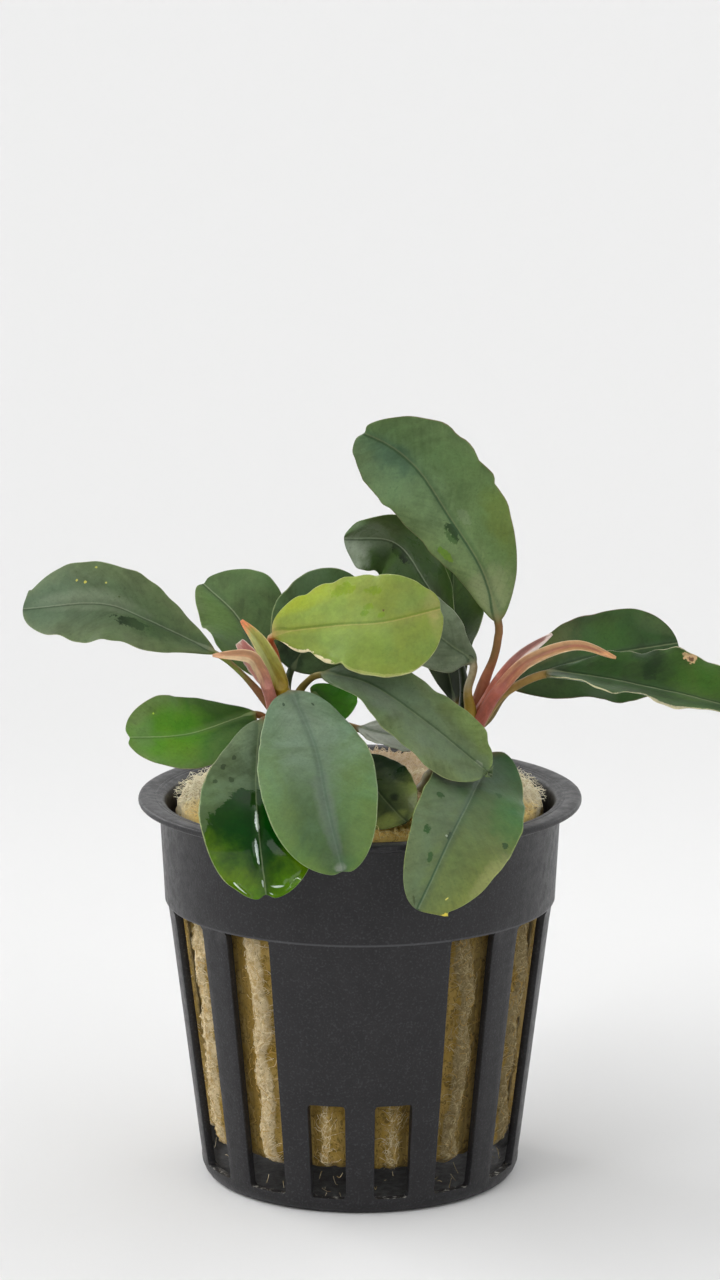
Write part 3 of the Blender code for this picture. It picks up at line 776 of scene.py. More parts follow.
def leaf(name, finish, stalk, blade, face, left, right, fold=8, wave=0.4, waves=2.5, phase=0.0,
         size=STALK_RADIUS, sheath=SHEATH_RADIUS, slot="leaf", notch=0.0, curls=(), dents=(), pleats=0.012,
         ripple=0.08, edge=0.03, quilt=0.1, groove=RIB_GROOVE, welts=(), spur=None):
    """stalk and blade are points of the midrib; face is where the upper side looks.
    curls are (side, place along, length, lift in mm) of a margin that turns up.
    dents are (side, place along, length, mm) of a bay in the margin, or with minus mm a lobe.
    welts are (place across, place along, mm wide, length, height) of standing water.
    spur is (side, place along, mm) of a small tooth on the margin."""
    line = smooth_line([*stalk, *blade])
    neck = len(stalk) * LINE_STEPS
    stalk_line = line[: neck + 1]
    blade_line = line[neck:]
    blade_length = sum((b - a).length for a, b in zip(blade_line, blade_line[1:]))
    normal = facing(*face)
    slope = math.radians(fold)
    frames = []
    for k in range(BLADE_ROWS + 1):
        s = (1 - math.cos(math.pi * k / BLADE_ROWS)) / 2
        centre, along = along_line(blade_line, s)
        side = along.cross(normal).normalized()
        frames.append((centre, along, side, side.cross(along), s))
    side = frames[0][2]
    for k in range(STALK_ROWS - 1, -1, -1):
        centre, along = along_line(stalk_line, k / STALK_ROWS)
        side = (side - along * side.dot(along)).normalized()
        frames.insert(0, (centre, along, side, side.cross(along), k / STALK_ROWS - 1))
    columns = 4 * HALF_COLUMNS

    def across(column):
        """(t, u, upper): t is -1 to 1 round a stalk, u across a blade."""
        upper = column <= 2 * HALF_COLUMNS
        t = 1 - column / HALF_COLUMNS if upper else column / HALF_COLUMNS - 3
        return t, t - MARGIN_CROWDING * math.sin(2 * math.pi * t) / (2 * math.pi), 1 if upper else -1

    def margin_at(u, s):
        """Half width on the side of u, with the small bumps that a real margin has."""
        sign = 1 if u > 0 else -1
        bumps = bumpy(6 * s, 7 * phase + 10 + 10 * sign, wave, 1) + 0.5 * bumpy(15 * s, phase, 9 * sign, 1)
        margin = width_at(right if u > 0 else left, s) * (1 + edge * bumps * math.sin(math.pi * s))
        for dent_side, middle, length, depth in dents:
            margin -= depth * hump(s, middle, length) if dent_side == sign else 0
        if spur and spur[0] == sign:
            margin += spur[2] * hump(s, spur[1], 0.01)
        return margin

    def half_width(u, s):
        return math.hypot(margin_at(u, s) * math.cos(slope), size * (1 - 0.8 * s))

    def place(column, row):
        centre, along, side, up, s = frames[row]
        t, u, upper = across(column)
        round_x = math.sin(math.pi / 2 * t)
        round_y = math.cos(math.pi / 2 * t)
        if s < 0:
            radius = size + (sheath - size) * soft_step((-s - 0.3) / 0.7)
            return centre + radius * (side * round_x + up * round_y * upper)
        margin = margin_at(u, s)
        half = half_width(u, s)
        flat = soft_step(s / FLAT_FROM)
        inside = math.sin(math.pi * s)
        thick = BLADE_HALF_THICKNESS + (size - BLADE_HALF_THICKNESS) * math.exp(-14 * s)
        thick *= 1 - 0.5 * s
        lens = math.sqrt(max(1 - u**6, 0))
        x = half * (round_x + (u - round_x) * flat)
        y = thick * (round_y + (lens - round_y) * flat) * upper
        # The blade's two halves rise from the midrib, and the margin is wavy
        y += margin * (math.sqrt(u * u + FOLD_SOFTNESS) - math.sqrt(FOLD_SOFTNESS)) * math.sin(slope)
        swing = math.sin(2 * math.pi * waves * s + phase + (1.3 if u > 0 else 0))
        y += wave * abs(u) ** 3 * swing * inside
        y += ripple * abs(u) ** 8 * math.sin(6.2 * math.pi * waves * s + 2 * phase + u) * inside
        for curl_side, middle, length, lift in curls:
            if curl_side * u > 0:
                y += lift * soft_step((abs(u) - CURL_FROM) / (1 - CURL_FROM)) ** 2 * hump(s, middle, length)
        # Midrib, soft quilting, and faint pleats along the side veins
        fade = flat * (1 - s) ** 0.6
        run = s * blade_length
        y -= (groove * hump(x, 0, GROOVE_WIDTH) if upper > 0 else RIB_RIDGE * hump(x, 0, RIDGE_WIDTH)) * fade
        y += quilt * (bumpy(x, 0.4 * run, phase, QUILT_SIZE) + 0.4 * bumpy(x, run, phase + 50, 1.6)) * inside
        slant = run - VEIN_SLANT * abs(x) + 0.04 * x * x + 0.8 * bumpy(x, run, phase, 4)
        pleat = math.sin(2 * math.pi * slant / VEIN_SPACING) * (1 - abs(u) ** 4) * soft_step(abs(x) / 1.2)
        y += pleats * pleat * flat * soft_step((1 - s) / 0.15)
        for beside, middle, width, length, height in welts:
            sway = 0.18 * bumpy(8 * s, 10 * middle, 3, 1)
            window = soft_step((length - abs(s - middle)) / 0.02)
            y += height * hump(x, beside * half + sway, width) * window * max(upper, 0)
        # The tip can be notched
        back = notch * hump(x, 0, NOTCH_WIDTH) * soft_step((s - 0.85) / 0.15)
        return centre + side * x + up * y - along * back

    def note(column, row):
        u, upper = across(column)[1:]
        s = frames[row][4]
        reach = (half_width(u, s) if s > 0 else size) * u
        upper_side = upper if 0 < column % (2 * HALF_COLUMNS) else 0
        return {"blade": (u, s, upper_side), "reach": (reach, s * blade_length, 0)}

    bm = rolled_sheet(columns, len(frames) - 1, place, note)
    close_ends(bm)
    finish_piece(name + "_blade", bm, finish, name)


def read_marks(tree, name):
    """The three values of an attribute that the mesh carries."""
    marks = add_node(tree, "ShaderNodeAttribute", attribute_name=name)
    parts = add_node(tree, "ShaderNodeSeparateXYZ", {0: marks.outputs["Vector"]}).outputs
    return parts["X"], parts["Y"], parts["Z"]


def drawn_noise(tree, x, y, scale, detail=4.0):
    """Noise on a leaf's own measures in mm, so that it follows the blade."""
    way = add_node(tree, "ShaderNodeCombineXYZ", {"X": x, "Y": y})
    values = {"Vector": way.outputs["Vector"], "Scale": scale, "Detail": detail, "Roughness": 0.6}
    return add_node(tree, "ShaderNodeTexNoise", values).outputs["Fac"]


def stalk_colour(tree, u, s, colours):
    """A colour on each side of a stalk, with soft streaks, and one for its base; the two sides are partly
    the stalk's own colours, partly painted light and shade on its lit and shaded sides.
    """
    fine = grain(tree, 1500, 4.0, 0.65)
    lit = ramp(tree, plus(tree, u, off_middle(tree, fine, 1.6)), -0.55, 0.55)
    shade = blend_colour(tree, lit, paint(*colours[0]), paint(*colours[1]))
    low = plus(tree, s, off_middle(tree, fine, 0.3))
    shade = tinted(tree, shade, ramp(tree, low, -0.3, -0.55), colours[-1])
    return shift_tone(tree, shade, ramp(tree, grain(tree, 700, 3.0), 0.3, 0.7, 0.86, 1.12))


def shift_tone(tree, shade, brightness, hue=0.5):
    values = {"Color": shade, "Value": brightness, "Hue": hue}
    return add_node(tree, "ShaderNodeHueSaturation", values).outputs["Color"]


def water(tree, s, off_rib, clumps, fine, wet):
    """Where water lies on the lower part of a blade, and the deeper colour under it."""
    start, middle, tip = wet
    lag = times(tree, work_out(tree, "POWER", off_rib, 2.0), 0.3)
    front = plus(tree, off_middle(tree, clumps, 0.2), off_middle(tree, fine, 0.06))
    front = plus(tree, minus(tree, s, lag), front)
    tip_way = times(tree, minus(tree, s, 0.78), 2.0)
    tip_way = plus(tree, times(tree, off_rib, 0.45), tip_way)
    tip_way = ramp(tree, plus(tree, tip_way, off_middle(tree, clumps, 0.5)), 0.05, 0.7)
    deep = blend_colour(tree, tip_way, paint(*middle), paint(*tip))
    return ramp(tree, front, start, start + 0.03), deep


def lay_patch(tree, shade, u, s, clumps, fine, patch):
    """A spot of another colour on a blade: a wide one is soft, a small one crisp."""
    patch_u, patch_s, width, length, colour, amount = patch
    soft = width > SOFT_PATCH_WIDTH
    dx = work_out(tree, "DIVIDE", minus(tree, u, patch_u), width)
    dy = work_out(tree, "DIVIDE", minus(tree, s, patch_s), length)
    reach = plus(tree, times(tree, dx, dx), times(tree, dy, dy))
    ragged = off_middle(tree, clumps if soft else fine, 5.0 if 0.05 < width < 0.16 else 3.0)
    reach = plus(tree, reach, ragged)
    mask = ramp(tree, reach, 1.9 if soft else 1.1, 0.0 if soft else 0.6, 0.0, amount)
    return tinted(tree, shade, mask, colour)


def leaf_skin(name, near, far, dark=(40, 60, 32), rib=(60, 78, 54), lip=(146, 158, 108),
              stalk=((150, 112, 74), (112, 96, 50)), under=(100, 122, 84), patches=(), blotch=0.4, veins=0.1,
              right_half=None, roughness=0.46, wet=None, specks=0.25, lip_strength=0.65,
              line=(124, 134, 96), line_strength=0.45, rib_line=0.5, rib_side=-0.2):
    """near and far are (middle, margin) colours at the blade's base and tip.
    patches are (u, s, width, length, colour, amount); u is -1 to 1, s is 0 to 1.
    wet is (where the water starts, its colours in the middle and near the tip).
    line is the fine pale line along the midrib; a dark one, partly painted shade of the groove, lies
    rib_side mm beside it."""
    finish, tree, shader = start_finish(name, roughness)
    u, s, side = read_marks(tree, "blade")
    across, run = read_marks(tree, "reach")[:2]
    off_rib = work_out(tree, "ABSOLUTE", u)
    across_mm = work_out(tree, "ABSOLUTE", across)
    fine = grain(tree, 1500, 5.0, 0.65)
    broad = grain(tree, 170, 4.0, 0.6, 0.5)
    clumps = grain(tree, 520, 4.0, 0.6, 0.4)
    # Texture that follows the side veins, which leave the midrib at a slant
    slant = minus(tree, run, times(tree, across_mm, VEIN_SLANT))
    streak = drawn_noise(tree, slant, times(tree, across, 0.25), 0.9)
    uneven = off_middle(tree, broad, 0.7)
    along = ramp(tree, plus(tree, s, uneven), 0.1, 0.95)
    middle = blend_colour(tree, along, paint(*near[0]), paint(*far[0]))
    margin = blend_colour(tree, along, paint(*near[1]), paint(*far[1]))
    uneven = plus(tree, uneven, off_middle(tree, streak, 0.5))
    shade = blend_colour(tree, ramp(tree, plus(tree, off_rib, uneven), 0.3, 1.0), middle, margin)
    if right_half:
        half = times(tree, ramp(tree, plus(tree, u, uneven), -0.1, 0.45), right_half[1])
        shade = tinted(tree, shade, half, right_half[0])
    clouds = times(tree, broad, 0.75)
    clouds = plus(tree, clouds, times(tree, streak, 0.25))
    shade = tinted(tree, shade, ramp(tree, clouds, 0.47, 0.62, 0.0, blotch), dark)
    if wet:
        wet_mask, deep = water(tree, s, off_rib, clumps, fine, wet)
        shade = blend_colour(tree, wet_mask, shade, deep)
    for patch in patches:
        shade = lay_patch(tree, shade, u, s, clumps, fine, patch)
    freckle = ramp(tree, grain(tree, 3400, 2.0, 0.5), 0.6, 0.72, 0.0, specks)
    shade = tinted(tree, shade, freckle, dark)
    lines = work_out(tree, "PINGPONG", work_out(tree, "DIVIDE", slant, VEIN_SPACING), 0.5)
    vein_line = ramp(tree, lines, 0.2, 0.0, 0.0, veins)
    vein_line = times(tree, vein_line, ramp(tree, broad, 0.4, 0.6))
    shade = tinted(tree, shade, vein_line, dark)
    # The midrib's groove is darker, with a fine dark line and a fine pale one; the darkening and the dark
    # line are partly the rib's own colour, partly painted shade in the groove
    rib_mask = ramp(tree, across_mm, 1.0, 0.15, 0.0, 0.34)
    shade = tinted(tree, shade, rib_mask, rib)
    across = plus(tree, across, off_middle(tree, fine, 0.12))
    beside = work_out(tree, "ABSOLUTE", minus(tree, across, rib_side))
    shade = tinted(tree, shade, ramp(tree, beside, 0.2, 0.06, 0.0, rib_line), dark)
    across_mm = work_out(tree, "ABSOLUTE", across)
    shade = tinted(tree, shade, ramp(tree, across_mm, 0.13, 0.04, 0.0, line_strength), line)
    lip_mask = plus(tree, off_rib, off_middle(tree, fine, 0.05))
    lip_mask = ramp(tree, lip_mask, 0.972, 0.992)
    lip_mask = times(tree, lip_mask, ramp(tree, broad, 0.35, 0.6, 0.5, 1.0))
    shade = tinted(tree, shade, times(tree, lip_mask, lip_strength), lip)
    shade = tinted(tree, shade, ramp(tree, side, 0.1, -0.1, 0.0, 0.85), under)
    # Fine mottling all over, in brightness and a little in hue
    mottle = ramp(tree, grain(tree, 2600, 4.0, 0.7), 0.28, 0.72, 0.92, 1.08)
    mottle = times(tree, mottle, ramp(tree, clumps, 0.3, 0.7, 0.9, 1.1))
    shade = shift_tone(tree, shade, mottle, ramp(tree, broad, 0.3, 0.7, 0.512, 0.488))
    shade = blend_colour(tree, ramp(tree, s, 0.05, -0.05), shade, stalk_colour(tree, u, s, stalk))
    tree.links.new(shade, shader.inputs["Base Color"])
    sheen = ramp(tree, broad, 0.35, 0.65, roughness - 0.07, roughness + 0.09)
    height = plus(tree, grain(tree, 2300, 4.0, 0.6), times(tree, streak, 0.9))
    if wet:
        dry = minus(tree, 1.0, wet_mask)
        sheen = plus(tree, times(tree, sheen, dry), 0.05)
        height = times(tree, height, work_out(tree, "MAXIMUM", dry, 0.12))
    tree.links.new(sheen, shader.inputs["Roughness"])
    raise_surface(tree, shader, height, 0.00004, 0.8)
    shader.inputs["Specular IOR Level"].default_value = 0.24 if wet else 0.22
    shader.inputs["Subsurface Weight"].default_value = 0.06
    shader.inputs["Subsurface Radius"].default_value = (0.0006, 0.001, 0.0003)
    return finish


# Left shoot, upper leaves
leaf(
    "leaf_far_left",
    leaf_skin(
        "skin_far_left", ((74, 92, 54), (88, 103, 62)), ((84, 102, 76), (98, 113, 80)),
        stalk=((116, 128, 62), (128, 92, 60)), line=(142, 150, 126), line_strength=0.35, rib_line=0.6,
        patches=[(-0.3, 0.42, 0.15, 0.1, (22, 42, 14), 1.0), (-0.25, 0.3, 0.3, 0.14, (50, 74, 34), 0.7),
                 # A painted sheen: the pale grey-green cloud along the midrib towards the tip
                 (0.1, 0.72, 0.25, 0.3, (122, 134, 108), 0.5),
                 (0.5, 0.69, 0.035, 0.007, (190, 186, 80), 1.0),
                 (0.57, 0.73, 0.03, 0.006, (186, 182, 84), 1.0),
                 (0.84, 0.65, 0.03, 0.006, (180, 178, 84), 0.9),
                 (0.5, 0.6, 0.025, 0.005, (184, 180, 90), 0.9),
                 (0.25, 0.53, 0.025, 0.005, (60, 76, 40), 0.9)],
    ),
    stalk=[(-9.3, -1.5, 57.4), (-11.4, -2.0, 60.2), (-14.8, -1.8, 64.0)],
    blade=[(-18, -2, 66.5), (-26, -2, 70.5), (-32, -1.5, 72.5), (-41.5, 0, 71.5)],
    face=(20, 45), left=(2.5, 6.5, 7.5), right=(2, 5.5, 6.5), fold=12, phase=0.6, size=0.34, sheath=0.8,
    edge=0.07, curls=[(-1, 0.78, 0.05, 0.5)], spur=(1, 0.975, 0.5),
)
leaf(
    "leaf_upper_left",
    leaf_skin(
        "skin_upper_left", ((66, 88, 44), (74, 98, 48)), ((92, 116, 68), (100, 126, 70)),
        line=(136, 148, 116), line_strength=0.6, right_half=((72, 92, 54), 0.6),
        patches=[(-0.4, 0.6, 0.4, 0.3, (86, 122, 54), 0.5)],
    ),
    stalk=[(-9.2, -1.0, 57), (-11, 0, 59)],
    blade=[(-12, 2, 62.5), (-15, 8, 68.5), (-20, 13, 72.5)],
    face=(25, 20), left=(5.5, 5.5, 3.5), right=(4.5, 6.5, 7.5), fold=12, phase=2.0, notch=0.5,
)
leaf(
    "leaf_bright",
    leaf_skin(
        "skin_bright", ((134, 152, 60), (146, 162, 66)), ((112, 128, 50), (122, 138, 56)),
        dark=(104, 124, 40), rib=(128, 132, 52), lip=(190, 188, 140),
        stalk=((206, 170, 130), (196, 96, 58)), under=(150, 172, 90), blotch=0.35, specks=0.08,
        right_half=((114, 134, 52), 0.8), veins=0.15, line=(164, 154, 84), line_strength=0.5,
        rib_line=0.85, rib_side=-0.22,
        patches=[(-0.85, 0.2, 0.3, 0.15, (160, 172, 20), 0.6),
                 (-0.75, 0.4, 0.13, 0.06, (124, 148, 14), 0.8),
                 (-0.68, 0.58, 0.09, 0.07, (108, 136, 14), 0.85),
                 (-0.35, 0.56, 0.07, 0.04, (106, 134, 14), 0.85),
                 (-0.22, 0.54, 0.06, 0.035, (106, 134, 14), 0.85),
                 (-0.16, 0.64, 0.06, 0.035, (108, 136, 18), 0.8),
                 (0.97, 0.14, 0.1, 0.1, (226, 212, 176), 0.9),
                 (0.97, 0.32, 0.1, 0.09, (222, 208, 170), 0.9),
                 (-0.25, 0.66, 0.025, 0.007, (96, 84, 40), 1.0),
                 (0.98, 0.6, 0.05, 0.2, (204, 196, 130), 0.25),
                 (0.0, 0.96, 0.9, 0.05, (164, 150, 96), 0.6), (0.6, 0.88, 0.4, 0.18, (106, 128, 48), 0.6),
                 (-0.4, 0.85, 0.5, 0.14, (120, 136, 66), 0.6)],
    ),
    stalk=[(-8.8, -1.0, 57.4), (-9.4, -0.8, 61.0), (-10.4, -1.2, 66.0)],
    blade=[(-10.5, -4, 69), (-3.5, -6, 70.5), (3, -8.5, 71.5), (10, -10, 73.5)],
    face=(40, 25), left=(5.5, 6.5, 6.5), right=(2, 6.5, 9), fold=6, phase=1.0, slot="leaf_bright",
    notch=0.3, curls=[(1, 0.12, 0.05, 0.8), (1, 0.32, 0.05, 0.8)], edge=0.05, ripple=0.16, size=0.45,
    dents=[(1, 0.13, 0.05, -0.5), (1, 0.22, 0.03, 0.5), (1, 0.33, 0.05, -0.4), (1, 0.45, 0.03, 0.5),
           (-1, 0.2, 0.03, 0.3), (-1, 0.35, 0.04, 0.3), (-1, 0.93, 0.03, 0.3)],
)
leaf(
    "leaf_behind_bright",
    leaf_skin(
        "skin_behind_bright", ((80, 104, 66), (86, 110, 70)), ((58, 82, 48), (70, 92, 54)),
        # The near-black patch at the blade's base is a painted shadow
        stalk=((40, 56, 28), (60, 70, 36)), patches=[(-0.3, 0.1, 0.5, 0.12, (14, 30, 12), 0.8)],
    ),
    stalk=[(-9.0, -0.8, 57), (-9, 0.5, 59)],
    blade=[(-8.5, 2, 63.5), (-4.5, 4.5, 68.5), (1.5, 6.5, 72)],
    face=(35, 20), left=(7.5, 7, 7), right=(6, 5.5, 7.5), fold=6, phase=0.0,
)
leaf(
    "leaf_long_middle",
    leaf_skin(
        # Its grey near the base is partly painted sheen, the grey cloud at (0.3, 0.35) is painted sheen, and
        # the pale spot at the notched tip is a painted highlight
        "skin_long_middle", ((90, 106, 82), (80, 96, 62)), ((88, 104, 66), (112, 130, 72)),
        stalk=((168, 156, 100), (104, 92, 42)), right_half=((84, 100, 70), 0.4), line_strength=0.3,
        patches=[(-0.75, 0.8, 0.3, 0.1, (100, 124, 56), 0.3), (0.3, 0.35, 0.4, 0.12, (100, 110, 94), 0.5),
                 (-0.1, 0.95, 0.12, 0.03, (128, 134, 112), 0.8)],
    ),
    stalk=[(-8.8, -1.8, 57), (-7.9, -2.5, 60.6), (-6.7, -3.2, 62.8)],
    blade=[(-4.5, -6, 64.5), (1, -9, 64), (7, -11.5, 60.5), (15.5, -14, 54)],
    face=(40, 35), left=(3.5, 5, 6), right=(3, 5.5, 9.5), fold=8, phase=2.6, notch=0.6, edge=0.05,
    size=0.42, curls=[(-1, 0.88, 0.06, 1.1)], dents=[(-1, 0.9, 0.03, 0.6), (-1, 0.8, 0.05, -0.4)],
)

# Left shoot, lower leaves
leaf(
    "leaf_lower_left",
    leaf_skin(
        "skin_lower_left", ((36, 68, 16), (46, 78, 24)), ((84, 122, 40), (104, 130, 70)),
        dark=(38, 70, 16), rib=(90, 122, 56), lip=(146, 136, 108), roughness=0.36, blotch=0.45,
        line=(140, 156, 108), line_strength=0.5, rib_line=0.3,
        patches=[(0.2, 0.58, 0.6, 0.22, (86, 138, 20), 0.55), (-0.4, 0.7, 0.5, 0.22, (94, 142, 28), 0.5),
                 (-0.6, 0.35, 0.4, 0.2, (84, 116, 56), 0.5),
                 (0.6, 0.78, 0.03, 0.008, (160, 190, 60), 0.9), (0.1, 0.9, 0.7, 0.1, (112, 134, 84), 0.5)],
    ),
    stalk=[(-8.7, -1.6, 55), (-10.5, -2.2, 56.5)],
    blade=[(-13, -3.5, 59), (-21, -8, 57.5), (-28.5, -10, 57.5)],
    face=(5, 50), left=(6, 6, 6), right=(2, 5.5, 7), fold=10, phase=1.5, wave=0.2, slot="leaf_bright",
    notch=0.5, ripple=0.04, edge=0.02,
)
leaf(
    "leaf_wet_front",
    leaf_skin(
        # Its grey-green near the base is partly painted sheen
        "skin_wet_front", ((104, 124, 94), (98, 116, 82)), ((62, 88, 46), (70, 96, 50)),
        dark=(34, 56, 26), rib=(52, 76, 38), lip=(172, 180, 130), roughness=0.4,
        wet=(0.44, (14, 56, 6), (78, 112, 6)), line=(130, 146, 106), line_strength=0.4, rib_line=0.3,
        patches=[(0.75, 0.35, 0.06, 0.02, (44, 62, 34), 0.9), (0.6, 0.28, 0.06, 0.018, (44, 62, 34), 0.9),
                 (0.5, 0.42, 0.06, 0.018, (44, 64, 34), 0.8),
                 (0.8, 0.45, 0.055, 0.012, (44, 64, 34), 0.8),
                 # Painted highlights: the near-white patches from here on stand for glints of light on the
                 # standing water
                 (0.02, 0.67, 0.035, 0.06, (214, 226, 216), 1.0),
                 (0.075, 0.8, 0.03, 0.055, (206, 222, 212), 1.0),
                 (0.8, 0.945, 0.035, 0.03, (206, 220, 196), 1.0),
                 (-0.38, 0.95, 0.16, 0.004, (206, 220, 200), 0.9),
                 (0.06, 0.945, 0.03, 0.02, (196, 210, 196), 0.9),
                 (-0.3, 0.985, 0.12, 0.005, (200, 214, 196), 0.8)],
    ),
    stalk=[(-8.8, -1.8, 55.5), (-10, -3.4, 57)],
    blade=[(-12, -8, 59), (-12.5, -18, 54.5), (-12, -26.5, 50), (-11, -30.5, 42.5)],
    face=(5, 40), left=(5, 6.5, 9.5), right=(3, 6.5, 8.5), fold=8, phase=0.4, notch=0.7, quilt=0.07,
    groove=0.05, curls=[(1, 0.95, 0.025, 0.9), (-1, 0.94, 0.02, 0.8)],
    welts=[(0.02, 0.67, 0.24, 0.09, 0.22), (0.075, 0.8, 0.24, 0.08, 0.2), (0.06, 0.945, 0.14, 0.03, 0.1),
           (0.8, 0.945, 0.2, 0.04, 0.16), (-0.3, 0.95, 0.2, 0.02, 0.1), (-0.62, 0.94, 0.2, 0.02, 0.1)],
)
leaf(
    "leaf_front",
    leaf_skin(
        # Its grey-green near the base is partly painted sheen over the leaf's green
        "skin_front", ((108, 126, 104), (100, 124, 96)), ((68, 92, 52), (92, 118, 56)), dark=(62, 86, 62),
        rib=(66, 84, 72), lip=(158, 172, 128), blotch=0.3, rib_line=0.4, line=(104, 120, 104),
        line_strength=0.2,
        patches=[(0.4, 0.09, 0.05, 0.012, (40, 60, 40), 0.9), (-0.5, 0.13, 0.04, 0.01, (44, 62, 42), 0.9),
                 (-0.55, 0.7, 0.35, 0.3, (92, 120, 62), 0.5),
                 (0.85, 0.6, 0.25, 0.25, (100, 126, 80), 0.4),
                 (0.0, 0.72, 0.16, 0.2, (104, 116, 102), 0.6),
                 (0.0, 0.99, 0.3, 0.03, (160, 164, 150), 0.6)],
    ),
    stalk=[(-8.7, -1.9, 55.8), (-8.4, -3.5, 57.5)],
    blade=[(-8.5, -7.5, 62.5), (-5.5, -17, 58), (-4, -26.5, 53), (-2, -32, 46)],
    face=(5, 40), left=(4.5, 6.5, 7), right=(6, 7.5, 9), fold=5, phase=0.9, notch=0.45, quilt=0.12,
)
leaf(
    "leaf_small_bright",
    leaf_skin(
        "skin_small_bright", ((48, 104, 6), (54, 108, 10)), ((58, 124, 10), (84, 146, 30)),
        dark=(34, 80, 10),
    ),
    stalk=[(-8.0, -1.2, 54.5), (-6.2, -0.8, 56.8)],
    blade=[(-5.7, -0.6, 60.8), (-4.1, -1.4, 59.8), (-2.2, -2.4, 57.8)],
    face=(25, 35), left=(3, 4.2, 4.2), right=(2.6, 3.2, 3.4), fold=5, wave=0.2, slot="leaf_bright",
    quilt=0.04,
)
leaf(
    "leaf_small_pleated",
    leaf_skin(
        # Its pale grey is partly painted sheen over the leaf's own colour
        "skin_small_pleated", ((186, 190, 178), (190, 194, 182)), ((150, 160, 138), (168, 176, 156)),
        dark=(110, 122, 104), rib=(120, 130, 112), veins=0.7,
    ),
    stalk=[(-7.6, -1.1, 52.8), (-5.8, -0.5, 54.5), (-3.5, 0, 57)],
    blade=[(0, -2.8, 57), (3.5, -4, 56.5), (8, -3, 55.5)],
    face=(10, 70), left=(3, 3.5, 3.5), right=(1.5, 3.5, 4), fold=8, wave=0.2, pleats=0.08, quilt=0.04,
)
leaf(
    "leaf_on_wool",
    leaf_skin(
        "skin_on_wool", ((52, 70, 34), (44, 66, 28)), ((84, 98, 50), (140, 154, 84)), dark=(28, 46, 20),
        roughness=0.3,
        patches=[(-0.95, 0.3, 0.5, 0.24, (12, 38, 6), 1.0), (0.3, 0.88, 0.6, 0.1, (150, 164, 84), 0.8),
                 (-0.85, 0.82, 0.25, 0.1, (124, 134, 98), 0.7),
                 (-0.25, 0.64, 0.16, 0.05, (18, 34, 8), 0.95), (0.2, 0.3, 0.3, 0.2, (96, 104, 84), 0.6)],
    ),
    stalk=[(-7.2, -1.4, 51.5), (-5.8, -2.4, 53.2), (-4, -6, 55)],
    blade=[(-1, -9.5, 54.5), (2.5, -15, 51.5), (4.5, -18.5, 50), (5.5, -20.5, 49.5)],
    face=(0, 35), left=(4.5, 4.5, 3.5), right=(4.5, 5, 5), fold=5, phase=1.2, wave=0.2,
)

# Right shoot, upright leaves
leaf(
    "leaf_tall",
    leaf_skin(
        "skin_tall", ((112, 132, 84), (108, 126, 74)), ((96, 124, 86), (108, 132, 90)), dark=(56, 82, 50),
        lip=(132, 118, 84), stalk=((118, 90, 52), (134, 96, 60), (156, 96, 70)),
        right_half=((86, 112, 58), 0.55), under=(78, 100, 62), line=(128, 128, 88), line_strength=0.3,
        rib_line=0.9, rib=(62, 90, 60),
        patches=[(-0.16, 0.4, 0.13, 0.045, (32, 56, 24), 0.9), (-0.3, 0.38, 0.1, 0.04, (54, 84, 38), 0.7),
                 (0.2, 0.42, 0.1, 0.04, (130, 142, 116), 0.25),
                 (-0.72, 0.335, 0.1, 0.05, (98, 132, 34), 0.85),
                 (0.8, 0.35, 0.3, 0.12, (104, 120, 44), 0.5),
                 (-0.6, 0.75, 0.35, 0.15, (108, 132, 92), 0.5),
                 (0.0, 0.1, 0.9, 0.1, (140, 152, 108), 0.7), (-0.2, 0.8, 0.3, 0.12, (62, 92, 74), 0.6)],
    ),
    stalk=[(13.8, -0.2, 56.6), (14.6, 0.1, 59.4), (15.4, 0.3, 62.4), (16.5, 0.4, 65.2), (17, 0.4, 67.6)],
    blade=[(17, 0.5, 70), (15, 1, 76.5), (11, 1, 83), (7.5, 0, 88.5), (4, -2, 92), (0, -5, 94.5)],
    face=(0, -10), left=(3, 5.5, 8), right=(3.5, 7.5, 6), fold=8, phase=1.8, wave=0.5, waves=3, notch=0.8,
    size=0.5, sheath=1.1, edge=0.1, quilt=0.22, ripple=0.12,
    dents=[(1, 0.6, 0.02, 0.25), (1, 0.48, 0.02, 0.25), (1, 0.7, 0.02, 0.2), (-1, 0.42, 0.03, 0.3),
           (-1, 0.62, 0.04, 0.3), (-1, 0.98, 0.02, -0.4)],
)
leaf(
    "leaf_dark_back",
    leaf_skin(
        "skin_dark_back", ((52, 74, 30), (58, 82, 34)), ((72, 92, 54), (72, 96, 48)), rib=(84, 100, 72),
        dark=(28, 46, 18), line=(150, 160, 134), line_strength=0.6, rib_line=0.5, roughness=0.34,
        stalk=((48, 58, 32), (36, 46, 24)),
        # The first two patches, pale grey, are painted sheen and highlight on the curled tip
        patches=[(-0.4, 0.95, 0.6, 0.1, (170, 180, 162), 0.85),
                 (0.2, 0.84, 0.6, 0.14, (124, 136, 116), 0.6), (-0.7, 0.74, 0.5, 0.08, (34, 56, 20), 0.5),
                 (-0.1, 0.6, 0.14, 0.1, (16, 28, 12), 0.9), (-0.45, 0.62, 0.4, 0.04, (62, 92, 30), 0.6)],
    ),
    stalk=[(13.4, 0.2, 56.3), (13, 1.5, 58), (13, 2.5, 61), (12.5, 4.5, 64)],
    blade=[(11.5, 5.5, 68), (8.5, 7.5, 73), (4.5, 10, 78), (-2, 11, 78.5)],
    face=(-20, -20), left=(4, 5.5, 6), right=(2, 5.5, 3), fold=14, phase=0.3, edge=0.07,
    curls=[(-1, 0.9, 0.05, 0.7), (1, 0.92, 0.06, -0.8)],
    dents=[(-1, 0.93, 0.03, -0.5), (-1, 0.8, 0.04, 0.5)],
)
